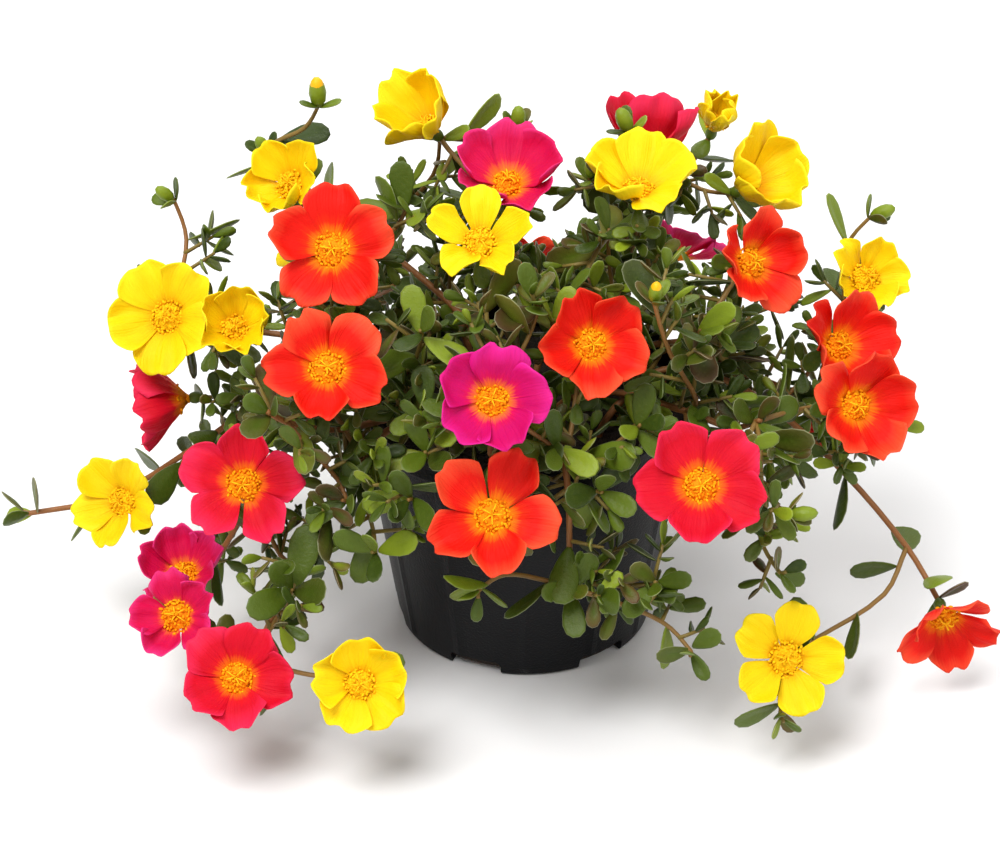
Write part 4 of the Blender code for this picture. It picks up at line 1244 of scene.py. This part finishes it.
POT_FINE = 240
WALL_STEPS = 10
RIM_EASE = 0.0004
RIB_WIDTH = 9
SOIL_FINE = 120
SOIL_RINGS = 40
SOIL_LUMPS = ((220, 0.0016), (600, 0.0008))


def spun(profile, steps, closed):
    """A profile of (radius, height) pairs turned about Z, its last point joined to its first if closed."""
    bm = bmesh.new()
    verts = [bm.verts.new((radius, 0, height)) for radius, height in profile]
    edges = [bm.edges.new(pair) for pair in zip(verts, verts[1:])]
    if closed:
        edges.append(bm.edges.new((verts[-1], verts[0])))
    bmesh.ops.spin(
        bm, geom=verts + edges, axis=(0, 0, 1), cent=(0, 0, 0), angle=2 * math.pi, steps=steps, use_merge=True
    )
    bmesh.ops.remove_doubles(bm, verts=bm.verts, dist=1e-6)
    return bm


def fine_pot():
    """The pot's profile spun round, with ribs on its wall."""
    below_rim = POT_HEIGHT - RIM_HEIGHT
    wall_top = POT_TOP_RADIUS - RIM_PROUD
    wall_foot = POT_BASE_RADIUS + 0.0010
    profile = [
        (POT_TOP_RADIUS - 0.0007, POT_HEIGHT),
        (POT_TOP_RADIUS - 0.0002, POT_HEIGHT - RIM_EASE),
        (POT_TOP_RADIUS, POT_HEIGHT - 0.0012),
        (POT_TOP_RADIUS - RIM_EASE, POT_HEIGHT - 0.0045),
        (POT_TOP_RADIUS - RIM_EASE, below_rim + 0.0022),
        (POT_TOP_RADIUS - 0.0007, below_rim + 0.0010),
        (wall_top, below_rim),
    ]
    for k in range(1, WALL_STEPS):
        share = k / WALL_STEPS
        radius = wall_top + (wall_foot - wall_top) * share
        profile.append((radius, below_rim + (FOOT_HEIGHT - below_rim) * share))
    profile += [
        (wall_foot, FOOT_HEIGHT),
        (POT_BASE_RADIUS + 0.0005, 0.0010),
        (POT_BASE_RADIUS - 0.0004, 0.0),
        (0, 0),
        (0, POT_FLOOR),
        (POT_BASE_RADIUS - POT_WALL, POT_FLOOR),
        (wall_top - POT_WALL, below_rim),
        (POT_TOP_RADIUS - POT_WALL, POT_HEIGHT - 0.0030),
        (POT_TOP_RADIUS - POT_WALL - 0.0002, POT_HEIGHT - 0.0003),
        (POT_TOP_RADIUS - POT_WALL + 0.0002, POT_HEIGHT),
    ]
    bm = spun(profile, POT_FINE, True)
    for vert in bm.verts:
        reach = math.hypot(vert.co.x, vert.co.y)
        if 0.002 < vert.co.z < below_rim - 0.001 and reach > pot_radius(vert.co.z) - 0.0006:
            angle = math.atan2(vert.co.y, vert.co.x) % (2 * math.pi)
            across = abs((angle / (2 * math.pi) * POT_SIDES / RIB_EVERY + 0.5) % 1 - 0.5)
            proud = RIB_PROUD * max(0.0, 1 - across * RIB_WIDTH)
            vert.co.x *= 1 + proud / reach
            vert.co.y *= 1 + proud / reach
    bmesh.ops.dissolve_degenerate(bm, dist=1e-7, edges=bm.edges)
    bmesh.ops.recalc_face_normals(bm, faces=bm.faces)
    return bm


def cut_drains(pot):
    """Six low slots through the foot of the wall, each by a cutter that is then removed."""
    cutters = bpy.data.collections.new("drain cutters")
    bpy.context.scene.collection.children.link(cutters)
    for k in range(DRAIN_COUNT):
        bm = bmesh.new()
        bmesh.ops.create_cube(bm, size=1)
        bmesh.ops.scale(bm, vec=(0.012, DRAIN_WIDTH, 2 * DRAIN_HEIGHT), verts=bm.verts)
        upper = [e for e in bm.edges if e.verts[0].co.z > 0]
        along_x = [e for e in upper if abs(e.verts[0].co.x - e.verts[1].co.x) > 0.001]
        bmesh.ops.bevel(bm, geom=along_x, offset=0.002, segments=4, profile=0.5, affect="EDGES", material=-1)
        bmesh.ops.translate(bm, vec=(POT_BASE_RADIUS, 0, 0), verts=bm.verts)
        bm.transform(Matrix.Rotation(DRAIN_TURN + 2 * math.pi * k / DRAIN_COUNT, 4, "Z"))
        mesh = bpy.data.meshes.new("drain cutter")
        bm.to_mesh(mesh)
        bm.free()
        cutters.objects.link(bpy.data.objects.new("drain cutter", mesh))
    cut = pot.modifiers.new("Drains", "BOOLEAN")
    cut.operation = "DIFFERENCE"
    cut.operand_type = "COLLECTION"
    cut.collection = cutters
    graph = bpy.context.evaluated_depsgraph_get()
    made = bpy.data.meshes.new_from_object(pot.evaluated_get(graph))
    pot.modifiers.clear()
    pot.data = made
    for obj in list(cutters.objects):
        bpy.data.objects.remove(obj)
    bpy.data.collections.remove(cutters)


def fine_soil():
    """A closed plug of soil whose top is crumbly."""
    low = POT_FLOOR + GAP
    inner_low = POT_BASE_RADIUS - POT_WALL - GAP - 0.0002
    inner_top = pot_radius(SOIL_TOP) - POT_WALL - GAP - 0.0004
    profile = [(0, SOIL_TOP + SOIL_CROWN)]
    for k in range(1, SOIL_RINGS + 1):
        share = k / SOIL_RINGS
        profile.append((inner_top * share, SOIL_TOP + SOIL_CROWN * (1 - share)))
    profile += [(inner_low, low), (0, low)]
    bm = spun(profile, SOIL_FINE, False)
    for vert in bm.verts:
        reach = math.hypot(vert.co.x, vert.co.y)
        if vert.co.z > SOIL_TOP - 0.001 and reach < inner_top * 0.985:
            vert.co.z += sum(noise.noise(vert.co * scale) * height for scale, height in SOIL_LUMPS)
    bmesh.ops.recalc_face_normals(bm, faces=bm.faces)
    for face in bm.faces:
        face.smooth = True
    return bm


# The add-on's settings, operators and panel


def colour_setting(name, default):
    return bpy.props.FloatVectorProperty(
        name=name, description="Base colour", subtype="COLOR", size=3, min=0.0, max=1.0, default=default
    )


class PortulacaSettings(bpy.types.PropertyGroup):
    light: bpy.props.FloatProperty(
        name="Light", description="Strength of the soft lights, as a share of the usual", default=1.0, min=0.0
    )
    floor: colour_setting("Floor", (0.86, 0.86, 0.86))
    pot: colour_setting("Pot", (0.0045, 0.0047, 0.006))
    soil: colour_setting("Soil", (0.050, 0.030, 0.018))
    leaf_dark: colour_setting("Darkest leaves", (0.026, 0.048, 0.003))
    leaf_light: colour_setting("Lightest leaves", (0.120, 0.178, 0.009))
    yellow: colour_setting("Yellow petals", PETAL_COLOURS["yellow"][0])
    orange: colour_setting("Orange petals", PETAL_COLOURS["orange"][0])
    red: colour_setting("Red petals", PETAL_COLOURS["red"][0])
    pink: colour_setting("Pink petals", PETAL_COLOURS["pink"][0])
    magenta: colour_setting("Magenta petals", PETAL_COLOURS["magenta"][0])
    stamens: bpy.props.IntProperty(name="Stamens", description="Stamens in each bloom", default=110, min=0)
    shoot_step: bpy.props.FloatProperty(
        name="Shoot step",
        description="Distance along a stem from one short shoot to the next; 0 leaves the shoots out",
        default=0.0075,
        min=0.0,
        unit="LENGTH",
    )


def grown():
    """The blooms, stems and leaves as the plain model grows them."""
    taken = Taken()
    pot_bm = bmesh.new()
    pot_bm.from_mesh(frame["nodes"]["pot"].data)
    taken.add("pot", pot_bm)
    pot_bm.free()
    for number, bloom in enumerate(BLOOMS):
        for bm in bloom_pieces(bloom, number):
            taken.add(bloom.name, bm)
            bm.free()
    mains = grow_stems(taken)
    pieces, shapes = dress_stems(mains, taken)
    for made in pieces.values():
        for bm in made:
            bm.free()
    return mains, shapes, taken


class PORTULACA_OT_blooms(bpy.types.Operator):
    """Makes the petals, stamens and styles of every bloom"""

    bl_idname = "portulaca.blooms"
    bl_label = "Blooms"

    def execute(self, context):
        settings = context.scene.portulaca
        finishes = {colour: petal_finish(colour, getattr(settings, colour)) for colour in PETAL_COLOURS}
        pollen = brush_finish()
        for number, bloom in enumerate(BLOOMS):
            petals, brush = fine_bloom(bloom, number, settings.stamens)
            node = "bloom_" + bloom.name
            slot_name = bloom.colour + "_petal"
            finish_piece(f"petals_{bloom.name}", petals, finishes[bloom.colour], [node])
            finish_piece(f"stamens_{bloom.name}", brush, pollen, [])
        return {"FINISHED"}


class PORTULACA_OT_stems(bpy.types.Operator):
    """Makes every leafy stem, with its twigs, buds and leaves"""

    bl_idname = "portulaca.stems"
    bl_label = "Leafy stems"

    def execute(self, context):
        settings = context.scene.portulaca
        material = leaf_finish(settings.leaf_dark, settings.leaf_light)
        mains, shapes, taken = grown()
        for number, (node, axes) in enumerate(mains):
            draw = random.Random(SEED * 31 + number)
            bm = dress_stem(node, axes, shapes[node], taken, draw, settings.shoot_step)
            finish_piece(f"leafy_{node}", bm, material, [node])
        return {"FINISHED"}


class PORTULACA_OT_pot(bpy.types.Operator):
    """Makes the pot and the soil in it"""

    bl_idname = "portulaca.pot"
    bl_label = "Pot and soil"

    def execute(self, context):
        settings = context.scene.portulaca
        pot = finish_piece("nursery_pot", fine_pot(), pot_finish(settings.pot), ["pot"])
        cut_drains(pot)
        finish_piece("potting_soil", fine_soil(), soil_finish(settings.soil), ["soil"])
        return {"FINISHED"}


FLOOR_SIZE = 8
WORLD_LIGHT = 0.50
AIM_HEIGHT = 0.08
SENSOR = 36
PHOTO_WIDTH = 1000

# Each light's name, place in metres, size and power in watts
LIGHTS = (
    ("key", (-0.5, -0.8, 1.7), 0.9, 34),
    ("fill", (1.2, -0.7, 0.9), 1.2, 7),
    ("back", (0.2, 1.1, 1.3), 1.0, 12),
)


class PORTULACA_OT_stage(bpy.types.Operator):
    """Sets the floor, the lights and the camera"""

    bl_idname = "portulaca.stage"
    bl_label = "Stage"

    def execute(self, context):
        settings = context.scene.portulaca
        bm = bmesh.new()
        bmesh.ops.create_grid(bm, x_segments=1, y_segments=1, size=FLOOR_SIZE)
        bmesh.ops.translate(bm, vec=(0, 0, -0.0002), verts=bm.verts)
        mesh = bpy.data.meshes.new("floor")
        bm.to_mesh(mesh)
        bm.free()
        floor = bpy.data.objects.new("floor", mesh)
        context.scene.collection.objects.link(floor)
        matte = Finish("floor", 0.9)
        matte.shader.inputs["Base Color"].default_value = (*settings.floor, 1)
        mesh.materials.append(matte.material)
        world = bpy.data.worlds.new("soft surround")
        context.scene.world = world
        world.use_nodes = True
        world.node_tree.nodes["Background"].inputs[0].default_value = (1, 1, 1, 1)
        world.node_tree.nodes["Background"].inputs[1].default_value = WORLD_LIGHT * settings.light
        for name, place_at, size, power in LIGHTS:
            lamp = bpy.data.lights.new(name, "AREA")
            lamp.energy = power * settings.light
            lamp.size = size
            holder = bpy.data.objects.new(name, lamp)
            holder.location = place_at
            aim = Vector((0, 0, AIM_HEIGHT)) - Vector(place_at)
            holder.rotation_euler = aim.to_track_quat("-Z", "Y").to_euler()
            context.scene.collection.objects.link(holder)
        camera = bpy.data.cameras.new("camera")
        camera.sensor_width = SENSOR
        camera.lens = SENSOR * SHEET_STEPS / PHOTO_WIDTH
        camera.clip_start = 0.05
        holder = bpy.data.objects.new("camera", camera)
        holder.location = EYE
        holder.rotation_euler = (math.pi / 2 - LOOK_DOWN, 0, 0)
        context.scene.collection.objects.link(holder)
        context.scene.camera = holder
        context.scene.view_settings.view_transform = "Standard"
        return {"FINISHED"}


class PORTULACA_PT_panel(bpy.types.Panel):
    bl_label = "Portulaca"
    bl_idname = "PORTULACA_PT_panel"
    bl_space_type = "VIEW_3D"
    bl_region_type = "UI"
    bl_category = "Portulaca"

    def draw(self, context):
        layout = self.layout
        settings = context.scene.portulaca
        for name in PortulacaSettings.__annotations__:
            layout.prop(settings, name)
        for operator in OPERATORS:
            layout.operator(operator.bl_idname)


OPERATORS = (PORTULACA_OT_pot, PORTULACA_OT_blooms, PORTULACA_OT_stems, PORTULACA_OT_stage)
CLASSES = (PortulacaSettings, *OPERATORS, PORTULACA_PT_panel)


def register():
    for made in CLASSES:
        bpy.utils.register_class(made)
    bpy.types.Scene.portulaca = bpy.props.PointerProperty(type=PortulacaSettings)


def unregister():
    del bpy.types.Scene.portulaca
    for made in reversed(CLASSES):
        bpy.utils.unregister_class(made)


def main():
    register()
    bpy.ops.portulaca.pot()
    bpy.ops.portulaca.blooms()
    bpy.ops.portulaca.stems()
    bpy.ops.portulaca.stage()


if __name__ == "__main__":
    main()
